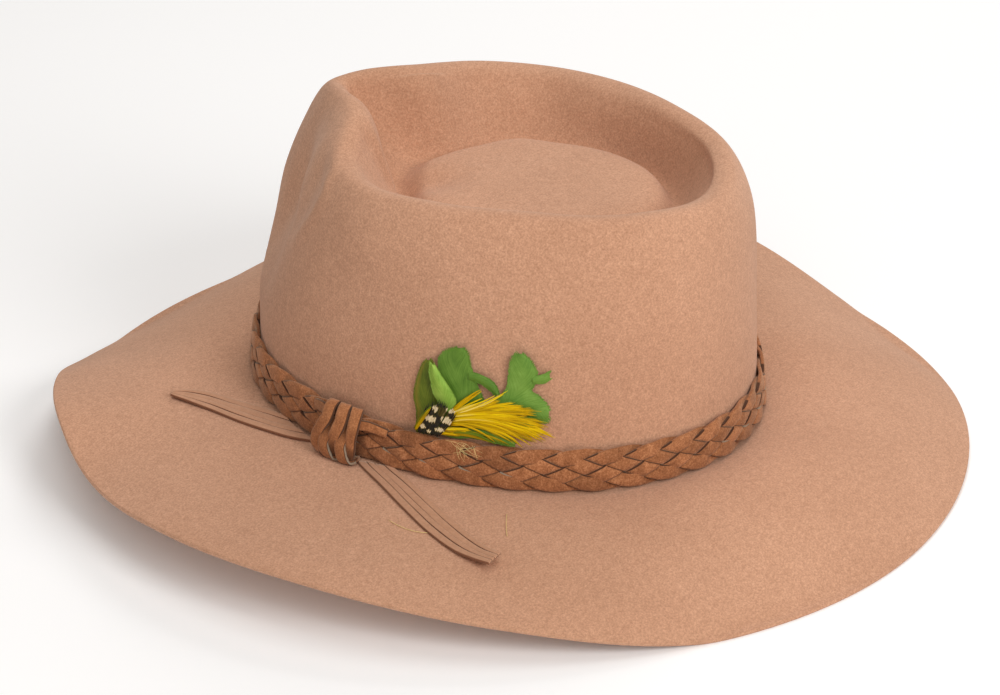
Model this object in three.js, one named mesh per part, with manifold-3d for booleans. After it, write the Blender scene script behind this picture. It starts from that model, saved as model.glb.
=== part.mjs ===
import * as THREE from 'three';
import Module from 'manifold-3d';

// Units are millimetres, +Z is up, the hat's front is -Y and the wearer's left is +X.
// Angles are degrees from the front towards the wearer's left.

// Felt cap
const FELT = 2.2;
const REST = 1.6;
const REST_EASE = 0.6;
const HEAD_LONG = 99.9;
const HEAD_WIDE = 88.3;
const BREAK_Z = 24.2;
const BREAK_FRONT = 3.5;
const BREAK_SIDES = -1.6;
const WALL_LOW = 60.0;
const WALL_HIGH = 91.5;
const RIM_HALF = 3.7;
const ISLAND_Z = 108.2;
const ISLAND_MID = 109.7;
const ISLAND_TOP = 110.2;
const LIFT = 2.2;

// The worn hat leans about one degree as it rests on three low places of its brim.
const LEAN_AXIS = [-0.3282, -0.9446, 0];
const LEAN = 0.98;
const LEAN_DROP = -1.2;
// Puts the middle of the hat's plan on the origin.
const CENTRE = [-0.3, -2.9];

// Brim: height of the edge, bow of the section and slant width, by angle
const BRIM_AT = [0, 12, 24, 36, 50, 70, 95, 120, 150, 180, 210, 228, 240, 265, 290, 310, 335, 346];
const EDGE_Z = [-2.2, 5, 17.7, 23.8, 17.3, 19.9, 20.5, 12.4, -2.1, 1.5, 3.6, 0.4, 5.6, 20.1, 23, 17.3, 5.4, -0.9];
const BOW = [0.95, 0.98, 1.07, 1.21, 1.32, 1.16, 1.14, 1.5, 2, 2.66, 2.02, 1.65, 1.43, 1.12, 1.17, 1.19,
  1.08, 1.01];
const WIDTH = [80.7, 81, 81.1, 81.6, 82.1, 82.8, 82.6, 82.1, 83.3, 83.7, 85.4, 84.8, 83.3, 81.5, 80.7, 79.5,
  78.5, 79.5];

// Crown: the same on both sides, by angle from the front
const CROWN_AT = [0, 8, 16, 26, 38, 52, 70, 95, 125, 155, 180];
const LOW_IN = [-1.5, -1.5, 0.3, 2.4, 2.2, 1.7, 1.3, 1.3, 1, 1, 1];
const HIGH_IN = [1, 6.5, 16, 16, 10.5, 7.8, 7.1, 6.4, 4.1, 2.2, 2.5];
const RIM_R = [75, 69, 61.5, 58.5, 61, 66.8, 69.8, 67.5, 69.6, 81, 86];
const RIM_Z = [133.2, 134.7, 135.6, 134.5, 131.9, 128.2, 125.4, 125.4, 124.8, 121.9, 119.5];
const SHOULDER_OUT = [11.4, 13, 13.5, 13.9, 13.6, 11.4, 9.3, 9, 9.6, 10, 9.2];
const SHOULDER_DOWN = [11.6, 13.8, 13.6, 12.6, 11.6, 11.7, 11.8, 11.7, 11.5, 11, 11];
const INSIDE_IN = [9.4, 9.3, 9.2, 9.1, 9.3, 9.5, 9.6, 9.2, 7.6, 6, 6];
const INSIDE_DOWN = [9.4, 9.4, 9.4, 9.4, 8.6, 8.3, 7.6, 7.4, 7.2, 6.8, 6.6];
const VALLEY_R = [46.5, 46.5, 44.5, 41, 40.5, 43.2, 47.2, 50.4, 57.5, 65, 67.5];
const VALLEY_Z = [101.7, 100.8, 99.7, 99.5, 99.6, 99.8, 99.9, 99.9, 99.9, 99.8, 99.8];
const ISLAND_R = [32.5, 31.5, 30.5, 30.5, 31.5, 33.5, 37, 39, 47, 54.5, 56.5];

// Columns and rings of the felt's facets
const HALF_COLUMNS = [0, 4, 8, 12, 16, 20, 24, 28, 32, 36, 40, 45, 51, 57, 63.5, 70, 76.5, 83, 89.5, 96,
  102.5, 109, 115.5, 122, 128.5, 135, 141.5, 148, 154.5, 161, 167.5, 174];
const BRIM_RINGS = [1, 0.97, 0.93, 0.86, 0.75, 0.62, 0.48, 0.33, 0.19, 0.09, 0.035];
const CROWN_STEPS = [[0.22, 1], [0.5, 1], [0.5, 1], [0.34, 0.67, 1], [0.5, 0.8, 1], [0.5, 1], [0.5, 1],
  [0.4, 0.75, 1], [0.35, 0.7, 1], [1]];
const INNER_SKIP = [3, 5, 7, 9, 13, 15, 19, 23, 25, 28, 31, 32];

// Braided band of five thongs
const BAND_STATIONS = 90;
const BAND_RELIEF = 0.45;
const BAND_SCALLOP = 0.7;
const BULGE = 1.3;
const BULGE_AT = 98;
const BULGE_SPAN = 6;
// Section of the band: distance out from the head oval, height above the brim, row of plaits
const BAND_SECTION = [
  { out: 0.9, up: 4.2, row: -1 },
  { out: 2.6, up: 1.7, row: -1 },
  { out: 4.4, up: 1.7, row: 0 },
  { out: 4.5, up: 4.4, row: 1 },
  { out: 4.2, up: 8.2, row: 2 },
  { out: 3.7, up: 12, row: 3 },
  { out: 3, up: 15.8, row: 4 },
  { out: 1.9, up: 18.2, row: 5 },
  { out: 0.9, up: 17, row: -1 },
];

// Knot round the band
const KNOT_AT = 76.7;
const KNOT_HALF = 6.4;
const KNOT_STATIONS = 15;
const KNOT_WRAPS = 3;
const KNOT_RELIEF = 0.8;
const KNOT_SECTION = [
  { out: 0.7, up: 19.4 },
  { out: 3, up: 20.6 },
  { out: 6, up: 20 },
  { out: 8.9, up: 17 },
  { out: 10.7, up: 12 },
  { out: 11.2, up: 7 },
  { out: 11, up: 3 },
  { out: 9.6, up: 0.8 },
];
// Inside of the knot, from under the tails up round the band
const KNOT_INSIDE = [
  { out: 7.4, up: 1.8 },
  { out: 5.3, up: 1.8 },
  { out: 5.5, up: 4.4 },
  { out: 5.2, up: 8.2 },
  { out: 4.7, up: 12 },
  { out: 4, up: 16.2 },
  { out: 2.6, up: 19.1 },
  { out: 0.9, up: 18.9 },
];

// Two bundles of loose thongs: angle and distance out from the head oval, for both edges of the bundle
const THONGS = 4;
const THONG_THICK = 1.0;
const THONG_GAP = 0.35;
const FRONT_TAIL = [
  { atA: 68.6, outA: 6.5, atB: 54.4, outB: 3.6, rise: 0 },
  { atA: 63.6, outA: 11.3, atB: 49.6, outB: 7.1, rise: 0 },
  { atA: 57.7, outA: 15.4, atB: 45.4, outB: 11.9, rise: 0 },
  { atA: 51.8, outA: 20, atB: 42, outB: 16.6, rise: 0 },
  { atA: 45.7, outA: 25.2, atB: 38.4, outB: 22.7, rise: 0 },
  { atA: 41.2, outA: 31.4, atB: 36.6, outB: 29.8, rise: 0.3 },
  { atA: 37.7, outA: 38, atB: 36.7, outB: 36.2, rise: 0.8 },
];
const REAR_TAIL = [
  { atA: 82, outA: 7, atB: 90.1, outB: 3, rise: 0 },
  { atA: 91.6, outA: 16.7, atB: 97.6, outB: 10.5, rise: 0 },
  { atA: 99.4, outA: 27.7, atB: 104.1, outB: 19.9, rise: 0 },
  { atA: 106.1, outA: 39.1, atB: 109.3, outB: 29.3, rise: 0 },
  { atA: 111.3, outA: 48.1, atB: 113.8, outB: 38.9, rise: 0.6 },
  { atA: 114.6, outA: 53, atB: 116.5, outB: 45.5, rise: 1.8 },
  { atA: 117.5, outA: 56.9, atB: 119, outB: 50.2, rise: 3.4 },
];

// Feathers on the wall: a row per section, its two sides as angle and height above the table
const QUILL = 0.5;
const LEFT_VANE = [
  { atA: 95, zA: 41.6, atB: 96.4, zB: 41.6, lift: 0.5, thick: 0.4 },
  { atA: 94.9, zA: 46, atB: 97.4, zB: 45.5, lift: 0.5, thick: 0.6 },
  { atA: 94.8, zA: 51.5, atB: 99, zB: 52, lift: 0.6, thick: 0.8 },
  { atA: 94.1, zA: 57.5, atB: 99.7, zB: 60, lift: 0.8, thick: 0.8 },
  { atA: 95.1, zA: 64, atB: 100.2, zB: 66, lift: 1, thick: 0.8 },
  { atA: 96.5, zA: 69.4, atB: 99.8, zB: 70.6, lift: 1.1, thick: 0.6 },
  { atA: 98.2, zA: 72, atB: 99.2, zB: 72.2, lift: 1.1, thick: 0.4 },
];
const TALL_VANE = [
  { atA: 97.2, zA: 41.6, atB: 98.6, zB: 41.6, lift: 0.5, thick: 0.4 },
  { atA: 98.5, zA: 46.8, atB: 102, zB: 46, lift: 0.5, thick: 0.6 },
  { atA: 100.6, zA: 53.6, atB: 107.8, zB: 52.4, lift: 0.6, thick: 0.8 },
  { atA: 101.6, zA: 60, atB: 112.6, zB: 57.6, lift: 0.8, thick: 0.9 },
  { atA: 101.4, zA: 67.5, atB: 110.8, zB: 65.8, lift: 1, thick: 0.9 },
  { atA: 101.5, zA: 73.6, atB: 109.5, zB: 71.8, lift: 1.2, thick: 0.8 },
  { atA: 103.2, zA: 77, atB: 108.8, zB: 76.4, lift: 1.4, thick: 0.7 },
  { atA: 105.8, zA: 78.8, atB: 107.6, zB: 79, lift: 1.4, thick: 0.4 },
];
const HOOK_BARB = [
  { atA: 108.8, zA: 66.6, atB: 108.8, zB: 70.4, lift: 1.1, thick: 0.7 },
  { atA: 111.2, zA: 66.4, atB: 111.9, zB: 69.4, lift: 1.2, thick: 0.7 },
  { atA: 113.1, zA: 64.8, atB: 114.2, zB: 67.8, lift: 1.3, thick: 0.6 },
  { atA: 114.3, zA: 62.8, atB: 115.8, zB: 64.9, lift: 1.3, thick: 0.5 },
  { atA: 115.4, zA: 60.6, atB: 116.2, zB: 61, lift: 1.2, thick: 0.4 },
];
const RIGHT_STEM = [
  { atA: 99.6, zA: 42.6, atB: 101, zB: 41.6, lift: 0.5, thick: 0.4 },
  { atA: 103.4, zA: 45.4, atB: 104.4, zB: 43.8, lift: 0.5, thick: 0.6 },
  { atA: 109.6, zA: 50.8, atB: 110.8, zB: 48.8, lift: 0.6, thick: 0.7 },
  { atA: 113.6, zA: 56.4, atB: 115.6, zB: 53.4, lift: 0.7, thick: 0.8 },
  { atA: 117, zA: 61.6, atB: 121, zB: 57.4, lift: 0.9, thick: 0.9 },
];
const RIGHT_UPPER = [
  { atA: 115.4, zA: 59, atB: 119.6, zB: 57.4, lift: 0.8, thick: 0.8 },
  { atA: 117.7, zA: 64.6, atB: 123.2, zB: 63.6, lift: 1, thick: 0.9 },
  { atA: 118.3, zA: 70.6, atB: 125, zB: 69.6, lift: 1.3, thick: 0.8 },
  { atA: 119, zA: 76, atB: 123.8, zB: 75.6, lift: 1.6, thick: 0.7 },
  { atA: 120.3, zA: 79, atB: 121.7, zB: 78.9, lift: 1.7, thick: 0.4 },
];
const RIGHT_LOWER = [
  { atA: 115.2, zA: 59.8, atB: 115.8, zB: 53.6, lift: 0.8, thick: 0.8 },
  { atA: 118.6, zA: 63, atB: 119.4, zB: 55.8, lift: 0.9, thick: 0.9 },
  { atA: 122.2, zA: 64.6, atB: 122.6, zB: 54, lift: 1.1, thick: 0.9 },
  { atA: 125.4, zA: 62.6, atB: 125.6, zB: 52, lift: 1.3, thick: 0.8 },
  { atA: 127.6, zA: 59.8, atB: 127.4, zB: 51.6, lift: 1.5, thick: 0.6 },
  { atA: 128.6, zA: 56.6, atB: 128.4, zB: 53.8, lift: 1.6, thick: 0.4 },
];
const RIGHT_BARB = [
  { atA: 123.6, zA: 70, atB: 123.8, zB: 67.2, lift: 1.3, thick: 0.6 },
  { atA: 126, zA: 70.8, atB: 126.2, zB: 67.4, lift: 1.5, thick: 0.5 },
  { atA: 127.6, zA: 72, atB: 127.8, zB: 69, lift: 1.7, thick: 0.4 },
];
const CURL_VANE = [
  { atA: 102, zA: 51, atB: 103.6, zB: 50.6, lift: 2, thick: 0.6 },
  { atA: 101.2, zA: 56, atB: 105, zB: 55.4, lift: 2.2, thick: 0.8 },
  { atA: 99.7, zA: 61, atB: 105.8, zB: 59.6, lift: 2.7, thick: 0.8 },
  { atA: 99.2, zA: 66, atB: 103.8, zB: 64.6, lift: 3, thick: 0.8 },
  { atA: 99.7, zA: 70, atB: 101.4, zB: 69, lift: 3, thick: 0.6 },
  { atA: 100.1, zA: 71.8, atB: 100.7, zB: 71.6, lift: 2.9, thick: 0.4 },
];
const HACKLE_LIFT = 3.2;
// Yellow locks: root, tip and breadth, fused to one head
const HACKLE_ROOT = { at: 102.2, z: 46.8 };
const HACKLE = [
  { at: 112.4, z: 63.6, wide: 2, lift: 0.1 },
  { at: 119.6, z: 60.4, wide: 1.6, lift: 0.2 },
  { at: 123.6, z: 57.4, wide: 3.6, lift: 0.4 },
  { at: 126.4, z: 53.2, wide: 4.4, lift: 0.6 },
  { at: 128.4, z: 48.2, wide: 4, lift: 0.7 },
  { at: 122.4, z: 46, wide: 3, lift: 0.5 },
];
const TUFT_LIFT = 4.9;
const TUFT_ROOT = { at: 98.6, z: 46 };
const TUFT = [
  { at: 98.6, z: 55.8, wide: 3.4, lift: 0 },
  { at: 102.4, z: 57.2, wide: 3.8, lift: 0.3 },
  { at: 105.6, z: 55, wide: 3.8, lift: 0.3 },
  { at: 105.4, z: 50, wide: 3.4, lift: 0 },
];

// Finish
const FELT_COLOUR = 0xbf8f70;
const BRAID_COLOUR = 0x8a5534;
const KNOT_COLOUR = 0x945a35;
const THONG_COLOUR = 0xb08468;
const GREEN_DARK = 0x4f8a25;
const GREEN_MID = 0x559a38;
const GREEN_LIGHT = 0x86b545;
const YELLOW = 0xd8ae0c;
const SPOTTED = 0x33322c;

const wasm = await Module();
wasm.setup();

const rad = (degrees) => (degrees * Math.PI) / 180;
const sin = (degrees) => Math.sin(rad(degrees));
const cos = (degrees) => Math.cos(rad(degrees));
const mix = (a, b, t) => a + (b - a) * t;

// Smooth curve through table values; the knots and values already carry their wrapped neighbours.
function smooth(knots, values, at) {
  let i = 1;
  while (i < knots.length - 3 && knots[i + 1] <= at) i += 1;
  const slope = (k) => {
    const left = knots[k] - knots[k - 1];
    const right = knots[k + 1] - knots[k];
    const before = (values[k] - values[k - 1]) / left;
    const after = (values[k + 1] - values[k]) / right;
    return (left * after + right * before) / (left + right);
  };
  const h = knots[i + 1] - knots[i];
  const u = (at - knots[i]) / h;
  const value = values[i] * (1 - u) ** 2 * (1 + 2 * u) + values[i + 1] * u * u * (3 - 2 * u);
  return value + h * u * (1 - u) * ((1 - u) * slope(i) - u * slope(i + 1));
}

// Value of a brim table at an angle; the table closes round the hat.
function around(values, degrees) {
  const at = ((degrees % 360) + 360) % 360;
  const n = BRIM_AT.length;
  const knots = [BRIM_AT[n - 2] - 360, BRIM_AT[n - 1] - 360, ...BRIM_AT, 360, BRIM_AT[1] + 360];
  const all = [values[n - 2], values[n - 1], ...values, values[0], values[1]];
  return smooth(knots, all, at);
}

// Value of a crown table at an angle; the table mirrors at the front and at the back.
function mirrored(values, degrees) {
  const turn = ((degrees % 360) + 360) % 360;
  const at = 180 - Math.abs(180 - turn);
  const n = CROWN_AT.length;
  const knots = [-CROWN_AT[1], ...CROWN_AT, 360 - CROWN_AT[n - 2]];
  return smooth(knots, [values[1], ...values, values[n - 2]], at);
}

const headOval = (d) => 1 / Math.hypot(sin(d) / HEAD_WIDE, cos(d) / HEAD_LONG);
const breakZ = (d) => BREAK_Z + BREAK_FRONT * cos(d) + BREAK_SIDES * cos(2 * d);

// Unit direction out of the head oval, in plan.
function outward(d) {
  const x = sin(d) / HEAD_WIDE ** 2;
  const y = -cos(d) / HEAD_LONG ** 2;
  const length = Math.hypot(x, y);
  return [x / length, y / length];
}

// The brim's upper face at an angle, at a share of its width out from the break.
function brimAt(d, share) {
  const z0 = breakZ(d);
  const rise = around(EDGE_Z, d) + LIFT - z0;
  const reach = Math.sqrt(around(WIDTH, d) ** 2 - rise * rise);
  const bow = around(BOW, d);
  const z = z0 + rise * ((1 - bow) * share + bow * share * share);
  const [nx, ny] = outward(d);
  const r = headOval(d);
  return [r * sin(d) + nx * reach * share, -r * cos(d) + ny * reach * share, z];
}

// Height of the brim at a distance out from the head oval.
function brimOut(d, out) {
  const rise = around(EDGE_Z, d) + LIFT - breakZ(d);
  const reach = Math.sqrt(around(WIDTH, d) ** 2 - rise * rise);
  return brimAt(d, out / reach);
}

// Named stations of the crown's section: radius and height.
function crownStations(d) {
  const r = headOval(d);
  const rimR = mirrored(RIM_R, d);
  const rimZ = mirrored(RIM_Z, d);
  const island = mirrored(ISLAND_R, d);
  return [
    [r, breakZ(d)],
    [r - 0.3, breakZ(d) + 12.6],
    [r - mirrored(LOW_IN, d), WALL_LOW],
    [r - mirrored(HIGH_IN, d), WALL_HIGH],
    [rimR + mirrored(SHOULDER_OUT, d), rimZ - mirrored(SHOULDER_DOWN, d)],
    [rimR + RIM_HALF, rimZ - 0.6],
    [rimR - RIM_HALF, rimZ - 0.6],
    [rimR - mirrored(INSIDE_IN, d), rimZ - mirrored(INSIDE_DOWN, d)],
    [mirrored(VALLEY_R, d), mirrored(VALLEY_Z, d)],
    [island, ISLAND_Z],
    [island * 0.5, ISLAND_MID],
    [0, ISLAND_TOP],
  ];
}

// Rounded curve between two stations, in both coordinates.
function between(s, k, u) {
  const last = s.length - 1;
  const ends = (a, b) => [2 * a[0] - b[0], 2 * a[1] - b[1]];
  const p0 = k > 0 ? s[k - 1] : ends(s[0], s[1]);
  const p3 = k + 2 <= last ? s[k + 2] : ends(s[last], s[last - 1]);
  const curve = (a, b, c, e) => {
    const square = (2 * a - 5 * b + 4 * c - e) * u * u;
    const cube = (3 * b - a - 3 * c + e) * u ** 3;
    return 0.5 * (2 * b + (c - a) * u + square + cube);
  };
  const [b, c] = [s[k], s[k + 1]];
  return [curve(p0[0], b[0], c[0], p3[0]), curve(p0[1], b[1], c[1], p3[1])];
}

const plan = (d, r, z) => [r * sin(d), -r * cos(d), z];

// Radius of the crown's wall at an angle and a height.
function wallRadius(d, z) {
  const s = crownStations(d);
  let [r0, z0] = s[0];
  for (let k = 0; k < 4; k += 1) {
    for (let i = 1; i <= 6; i += 1) {
      const [r1, z1] = between(s, k, i / 6);
      if (z <= z1) return mix(r0, r1, (z - z0) / (z1 - z0));
      [r0, z0] = [r1, z1];
    }
  }
  return r0;
}

// Point off the wall by a lift, square to the head oval.
function wallAt(d, z, lift) {
  const r = wallRadius(d, z);
  const [nx, ny] = outward(d);
  return [r * sin(d) + nx * lift, -r * cos(d) + ny * lift, z];
}

// The lean of the resting hat, the same for every piece.
const leanTurn = new THREE.Matrix4().makeRotationAxis(new THREE.Vector3(...LEAN_AXIS).normalize(), rad(LEAN));
function settle(p) {
  const v = new THREE.Vector3(...p).applyMatrix4(leanTurn);
  return [v.x + CENTRE[0], v.y + CENTRE[1], v.z + LEAN_DROP];
}

// Felt that would sink below the table lies flat on it.
function flatten(p) {
  const d = p[2] - REST;
  return [p[0], p[1], REST + 0.5 * (d + Math.sqrt(d * d + REST_EASE ** 2))];
}

// A solid from closed rings of equal length, each end closed by a strip from its first half to its last.
function loft(rings, closed) {
  const n = rings[0].length;
  const points = rings.flat();
  const faces = [];
  const spans = closed ? rings.length : rings.length - 1;
  for (let i = 0; i < spans; i += 1) {
    const a = i * n;
    const b = ((i + 1) % rings.length) * n;
    for (let j = 0; j < n; j += 1) {
      const k = (j + 1) % n;
      faces.push([a + j, b + j, b + k], [a + j, b + k, a + k]);
    }
  }
  if (!closed) {
    const end = (rings.length - 1) * n;
    for (let j = 0; 2 * j < n - 2; j += 1) {
      const [p, q, r] = [j + 1, n - 2 - j, n - 1 - j];
      faces.push([j, p, r], [end + j, end + r, end + p]);
      if (p < q) faces.push([p, q, r], [end + p, end + r, end + q]);
    }
  }
  return outwardFacing(points, faces);
}

// Turns all faces over when the enclosed volume comes out negative.
function outwardFacing(points, faces) {
  let volume = 0;
  for (const [a, b, c] of faces) {
    const [p, q, r] = [points[a], points[b], points[c]];
    volume += p[0] * (q[1] * r[2] - q[2] * r[1]);
    volume += p[1] * (q[2] * r[0] - q[0] * r[2]);
    volume += p[2] * (q[0] * r[1] - q[1] * r[0]);
  }
  return { points, faces: volume < 0 ? faces.map(([a, b, c]) => [a, c, b]) : faces };
}

function toSolid({ points, faces }) {
  const vertProperties = new Float32Array(points.flat());
  const triVerts = new Uint32Array(faces.flat());
  return new wasm.Manifold(new wasm.Mesh({ numProp: 3, vertProperties, triVerts }));
}

function fromSolid(solid) {
  const mesh = solid.getMesh();
  const points = [];
  const faces = [];
  for (let i = 0; i < mesh.vertProperties.length; i += mesh.numProp) {
    points.push([...mesh.vertProperties.slice(i, i + 3)]);
  }
  for (let i = 0; i < mesh.triVerts.length; i += 3) faces.push([...mesh.triVerts.slice(i, i + 3)]);
  return { points, faces };
}

const fuse = (shapes) => fromSolid(shapes.map(toSolid).reduce((a, b) => a.add(b)));

const group = new THREE.Group();
group.name = 'bush_hat';

function addNode(name, shape, colour, roughness, lean = true) {
  const points = lean ? shape.points.map(settle) : shape.points;
  const geometry = new THREE.BufferGeometry();
  geometry.setAttribute('position', new THREE.Float32BufferAttribute(points.flat(), 3));
  geometry.setIndex(shape.faces.flat());
  geometry.computeVertexNormals();
  const material = new THREE.MeshStandardMaterial({ color: colour, roughness, metalness: 0 });
  material.name = `${name}_material`;
  const mesh = new THREE.Mesh(geometry, material);
  mesh.name = name;
  group.add(mesh);
}

// Felt cap: the outer face in rings from the brim's edge to the middle of the crown.
function feltShape() {
  const mirror = HALF_COLUMNS.slice(1).map((d) => 360 - d).reverse();
  const columns = [...HALF_COLUMNS, 180, ...mirror];
  const n = columns.length;
  const rings = BRIM_RINGS.map((share) => columns.map((d) => flatten(settle(brimAt(d, share)))));
  const sections = columns.map(crownStations);
  const foot = (d) => settle(plan(d, headOval(d) + 0.7, breakZ(d) + 0.7));
  rings.push(columns.map(foot));
  CROWN_STEPS.forEach((steps, k) => {
    for (const u of steps) {
      rings.push(columns.map((d, j) => settle(plan(d, ...between(sections[j], k, u)))));
    }
  });
  const top = settle([0, 0, ISLAND_TOP]);
  const wrap = (j) => (j + n) % n;
  const count = rings.length;
  const offset = (i, j) => {
    const before = rings[Math.max(i - 1, 0)][j];
    const after = i + 1 < count ? rings[i + 1][j] : top;
    const along = new THREE.Vector3(...after).sub(new THREE.Vector3(...before));
    const right = new THREE.Vector3(...rings[i][wrap(j + 1)]);
    const across = right.sub(new THREE.Vector3(...rings[i][wrap(j - 1)]));
    const normal = across.cross(along).normalize().multiplyScalar(FELT);
    const p = new THREE.Vector3(...rings[i][j]).sub(normal);
    return [p.x, p.y, i < BRIM_RINGS.length ? Math.max(p.z, 0) : p.z];
  };
  const inner = [];
  for (let i = 0; i < count; i += 1) {
    if (!INNER_SKIP.includes(i)) inner.push(columns.map((_, j) => offset(i, j)));
  }
  const all = [...inner.reverse(), ...rings];
  const points = all.flat();
  const faces = [];
  for (let i = 0; i + 1 < all.length; i += 1) {
    for (let j = 0; j < n; j += 1) {
      const [a, b] = [i * n + j, i * n + wrap(j + 1)];
      faces.push([a, b, b + n], [a, b + n, a + n]);
    }
  }
  points.push(top, [top[0], top[1], top[2] - FELT]);
  const last = (all.length - 1) * n;
  for (let j = 0; j < n; j += 1) {
    faces.push([last + j, last + wrap(j + 1), points.length - 2]);
    faces.push([wrap(j + 1), j, points.length - 1]);
  }
  return outwardFacing(points, faces);
}

const bulge = (d) => BULGE * Math.exp(-(((d - BULGE_AT) / BULGE_SPAN) ** 2));

// Point of the band's section, out from the oval and up from the brim.
function bandPoint(d, out, up) {
  const [nx, ny] = outward(d);
  const r = headOval(d);
  const push = out + bulge(d) * Math.min(1, up / 12);
  const low = brimOut(d, out)[2];
  const z = mix(low, breakZ(d), Math.min(1, up / 16)) + up;
  return [r * sin(d) + nx * push, -r * cos(d) + ny * push, z];
}

function bandShape() {
  const rings = [];
  for (let i = 0; i < BAND_STATIONS; i += 1) {
    const d = (360 * i) / BAND_STATIONS;
    rings.push(BAND_SECTION.map(({ out, up, row }) => {
      if (row < 0) return bandPoint(d, out, up);
      const sign = (row + i) % 2 === 0 ? 1 : -1;
      const edge = row === 0 ? -1 : row === 5 ? 1 : 0;
      const rise = edge === -1 ? Math.max(-sign, 0) * BAND_SCALLOP : edge * sign * 0.5 * BAND_SCALLOP;
      return bandPoint(d, out + (edge ? 0 : sign * BAND_RELIEF), up + rise);
    }));
  }
  return loft(rings, true);
}

// The knot is a wrap open at the back and below, round the band, with slanting turns.
function knotShape() {
  const rings = [];
  const [ci, cu] = [4.5, 9.5];
  for (let i = 0; i < KNOT_STATIONS; i += 1) {
    const t = (2 * i) / (KNOT_STATIONS - 1) - 1;
    const d = KNOT_AT + t * KNOT_HALF;
    const round = Math.sqrt(Math.max(1 - t ** 4, 0)) * 0.45 + 0.55;
    const wide = mix(0.64, 1, round);
    const tall = mix(0.98, 1, round);
    const ring = KNOT_SECTION.map(({ out, up }, k) => {
      const wave = Math.cos(Math.PI * (KNOT_WRAPS * t + k / 3.5));
      const grow = KNOT_RELIEF * wave * (k > 0 ? 1 : 0);
      const length = Math.hypot(out - ci, up - cu);
      const o = ci + (out - ci) * (out > ci ? wide : 1) + (grow * (out - ci)) / length;
      const u = cu + (up - cu) * tall + (grow * 0.5 * (up - cu)) / length;
      return bandPoint(d, Math.max(o, 0.7), u);
    });
    rings.push([...ring, ...KNOT_INSIDE.map(({ out, up }) => bandPoint(d, out, up))]);
  }
  return loft(rings, false);
}

// One flat thong of a bundle, lying on the brim between the bundle's two edges.
function thongShape(table, index) {
  const rings = table.map(({ atA, outA, atB, outB, rise }) => {
    const edge = (share) => {
      const p = brimOut(mix(atA, atB, share), mix(outA, outB, share));
      return p;
    };
    const [a, b] = [edge(index / THONGS), edge((index + 1) / THONGS)];
    const wide = Math.hypot(b[0] - a[0], b[1] - a[1]);
    const trim = (THONG_GAP * 0.5) / wide;
    const at = (share, up) => [mix(a[0], b[0], share), mix(a[1], b[1], share), mix(a[2], b[2], share) + up];
    const low = 0.35 + rise;
    return [at(trim, low), at(1 - trim, low), at(1 - trim, low + THONG_THICK), at(trim, low + THONG_THICK)];
  });
  return loft(rings, false);
}

// A thin blade on the wall: two thin edges and a thicker middle per row.
function bladeShape(rows) {
  const rings = rows.map(({ atA, zA, atB, zB, lift, thick }) => {
    const [d, z] = [(atA + atB) / 2, (zA + zB) / 2];
    const thin = lift + thick / 2;
    return [
      wallAt(atA, zA, thin - 0.15),
      wallAt(d, z, lift),
      wallAt(atB, zB, thin - 0.15),
      wallAt(atB, zB, thin + 0.15),
      wallAt(d, z, lift + thick),
      wallAt(atA, zA, thin + 0.15),
    ];
  });
  return loft(rings, false);
}

// A tapered lock from a root to a tip, as rows for a blade.
function lockRows(root, { at, z, wide, lift }, base, thick) {
  const span = 1.55;
  const dx = (at - root.at) * span;
  const dz = z - root.z;
  const length = Math.hypot(dx, dz);
  const [ux, uz] = [-dz / length, dx / length];
  const shape = [0.35, 0.75, 1, 0.85, 0.12];
  return shape.map((s, i) => {
    const t = i / (shape.length - 1);
    const [d, h] = [mix(root.at, at, t), mix(root.z, z, t)];
    const half = (wide * s) / 2;
    return {
      atA: d + (ux * half) / span,
      zA: h + uz * half,
      atB: d - (ux * half) / span,
      zB: h - uz * half,
      lift: base + lift * t,
      thick: mix(thick, 0.4, t),
    };
  });
}

// A head with the locks fused to it.
function headed(root, locks, base, thick) {
  const blades = locks.map((lock) => bladeShape(lockRows(root, lock, base, thick)));
  const head = [
    { atA: root.at - 1.2, zA: root.z - 1.6, atB: root.at + 1.6, zB: root.z - 1.6, lift: base, thick },
    { atA: root.at - 1.6, zA: root.z + 1, atB: root.at + 2, zB: root.z + 0.8, lift: base, thick },
    { atA: root.at - 0.6, zA: root.z + 2.8, atB: root.at + 2, zB: root.z + 2.6, lift: base, thick },
  ];
  return fuse([bladeShape(head), ...blades]);
}

addNode('felt_body', feltShape(), FELT_COLOUR, 0.95, false);
addNode('braid_band', bandShape(), BRAID_COLOUR, 0.85);
addNode('band_knot', knotShape(), KNOT_COLOUR, 0.85);
for (let i = 0; i < THONGS; i += 1) {
  addNode(`front_tail_thong_${i + 1}`, thongShape(FRONT_TAIL, i), THONG_COLOUR, 0.8);
  addNode(`rear_tail_thong_${i + 1}`, thongShape(REAR_TAIL, i), THONG_COLOUR, 0.8);
}
addNode('green_vane_left', bladeShape(LEFT_VANE), GREEN_DARK, 0.6);
addNode('green_vane_tall', fuse([bladeShape(TALL_VANE), bladeShape(HOOK_BARB)]), GREEN_MID, 0.6);
const rightBlades = [RIGHT_STEM, RIGHT_UPPER, RIGHT_LOWER, RIGHT_BARB].map(bladeShape);
addNode('green_vane_right', fuse(rightBlades), GREEN_MID, 0.6);
addNode('green_vane_curl', bladeShape(CURL_VANE), GREEN_LIGHT, 0.6);
addNode('yellow_hackle', headed(HACKLE_ROOT, HACKLE, HACKLE_LIFT, 1), YELLOW, 0.6);
addNode('spotted_tuft', headed(TUFT_ROOT, TUFT, TUFT_LIFT, 1.2), SPOTTED, 0.6);

export default group;
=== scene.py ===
import math

import bpy
import numpy as np
from mathutils import Matrix, Vector


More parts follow.
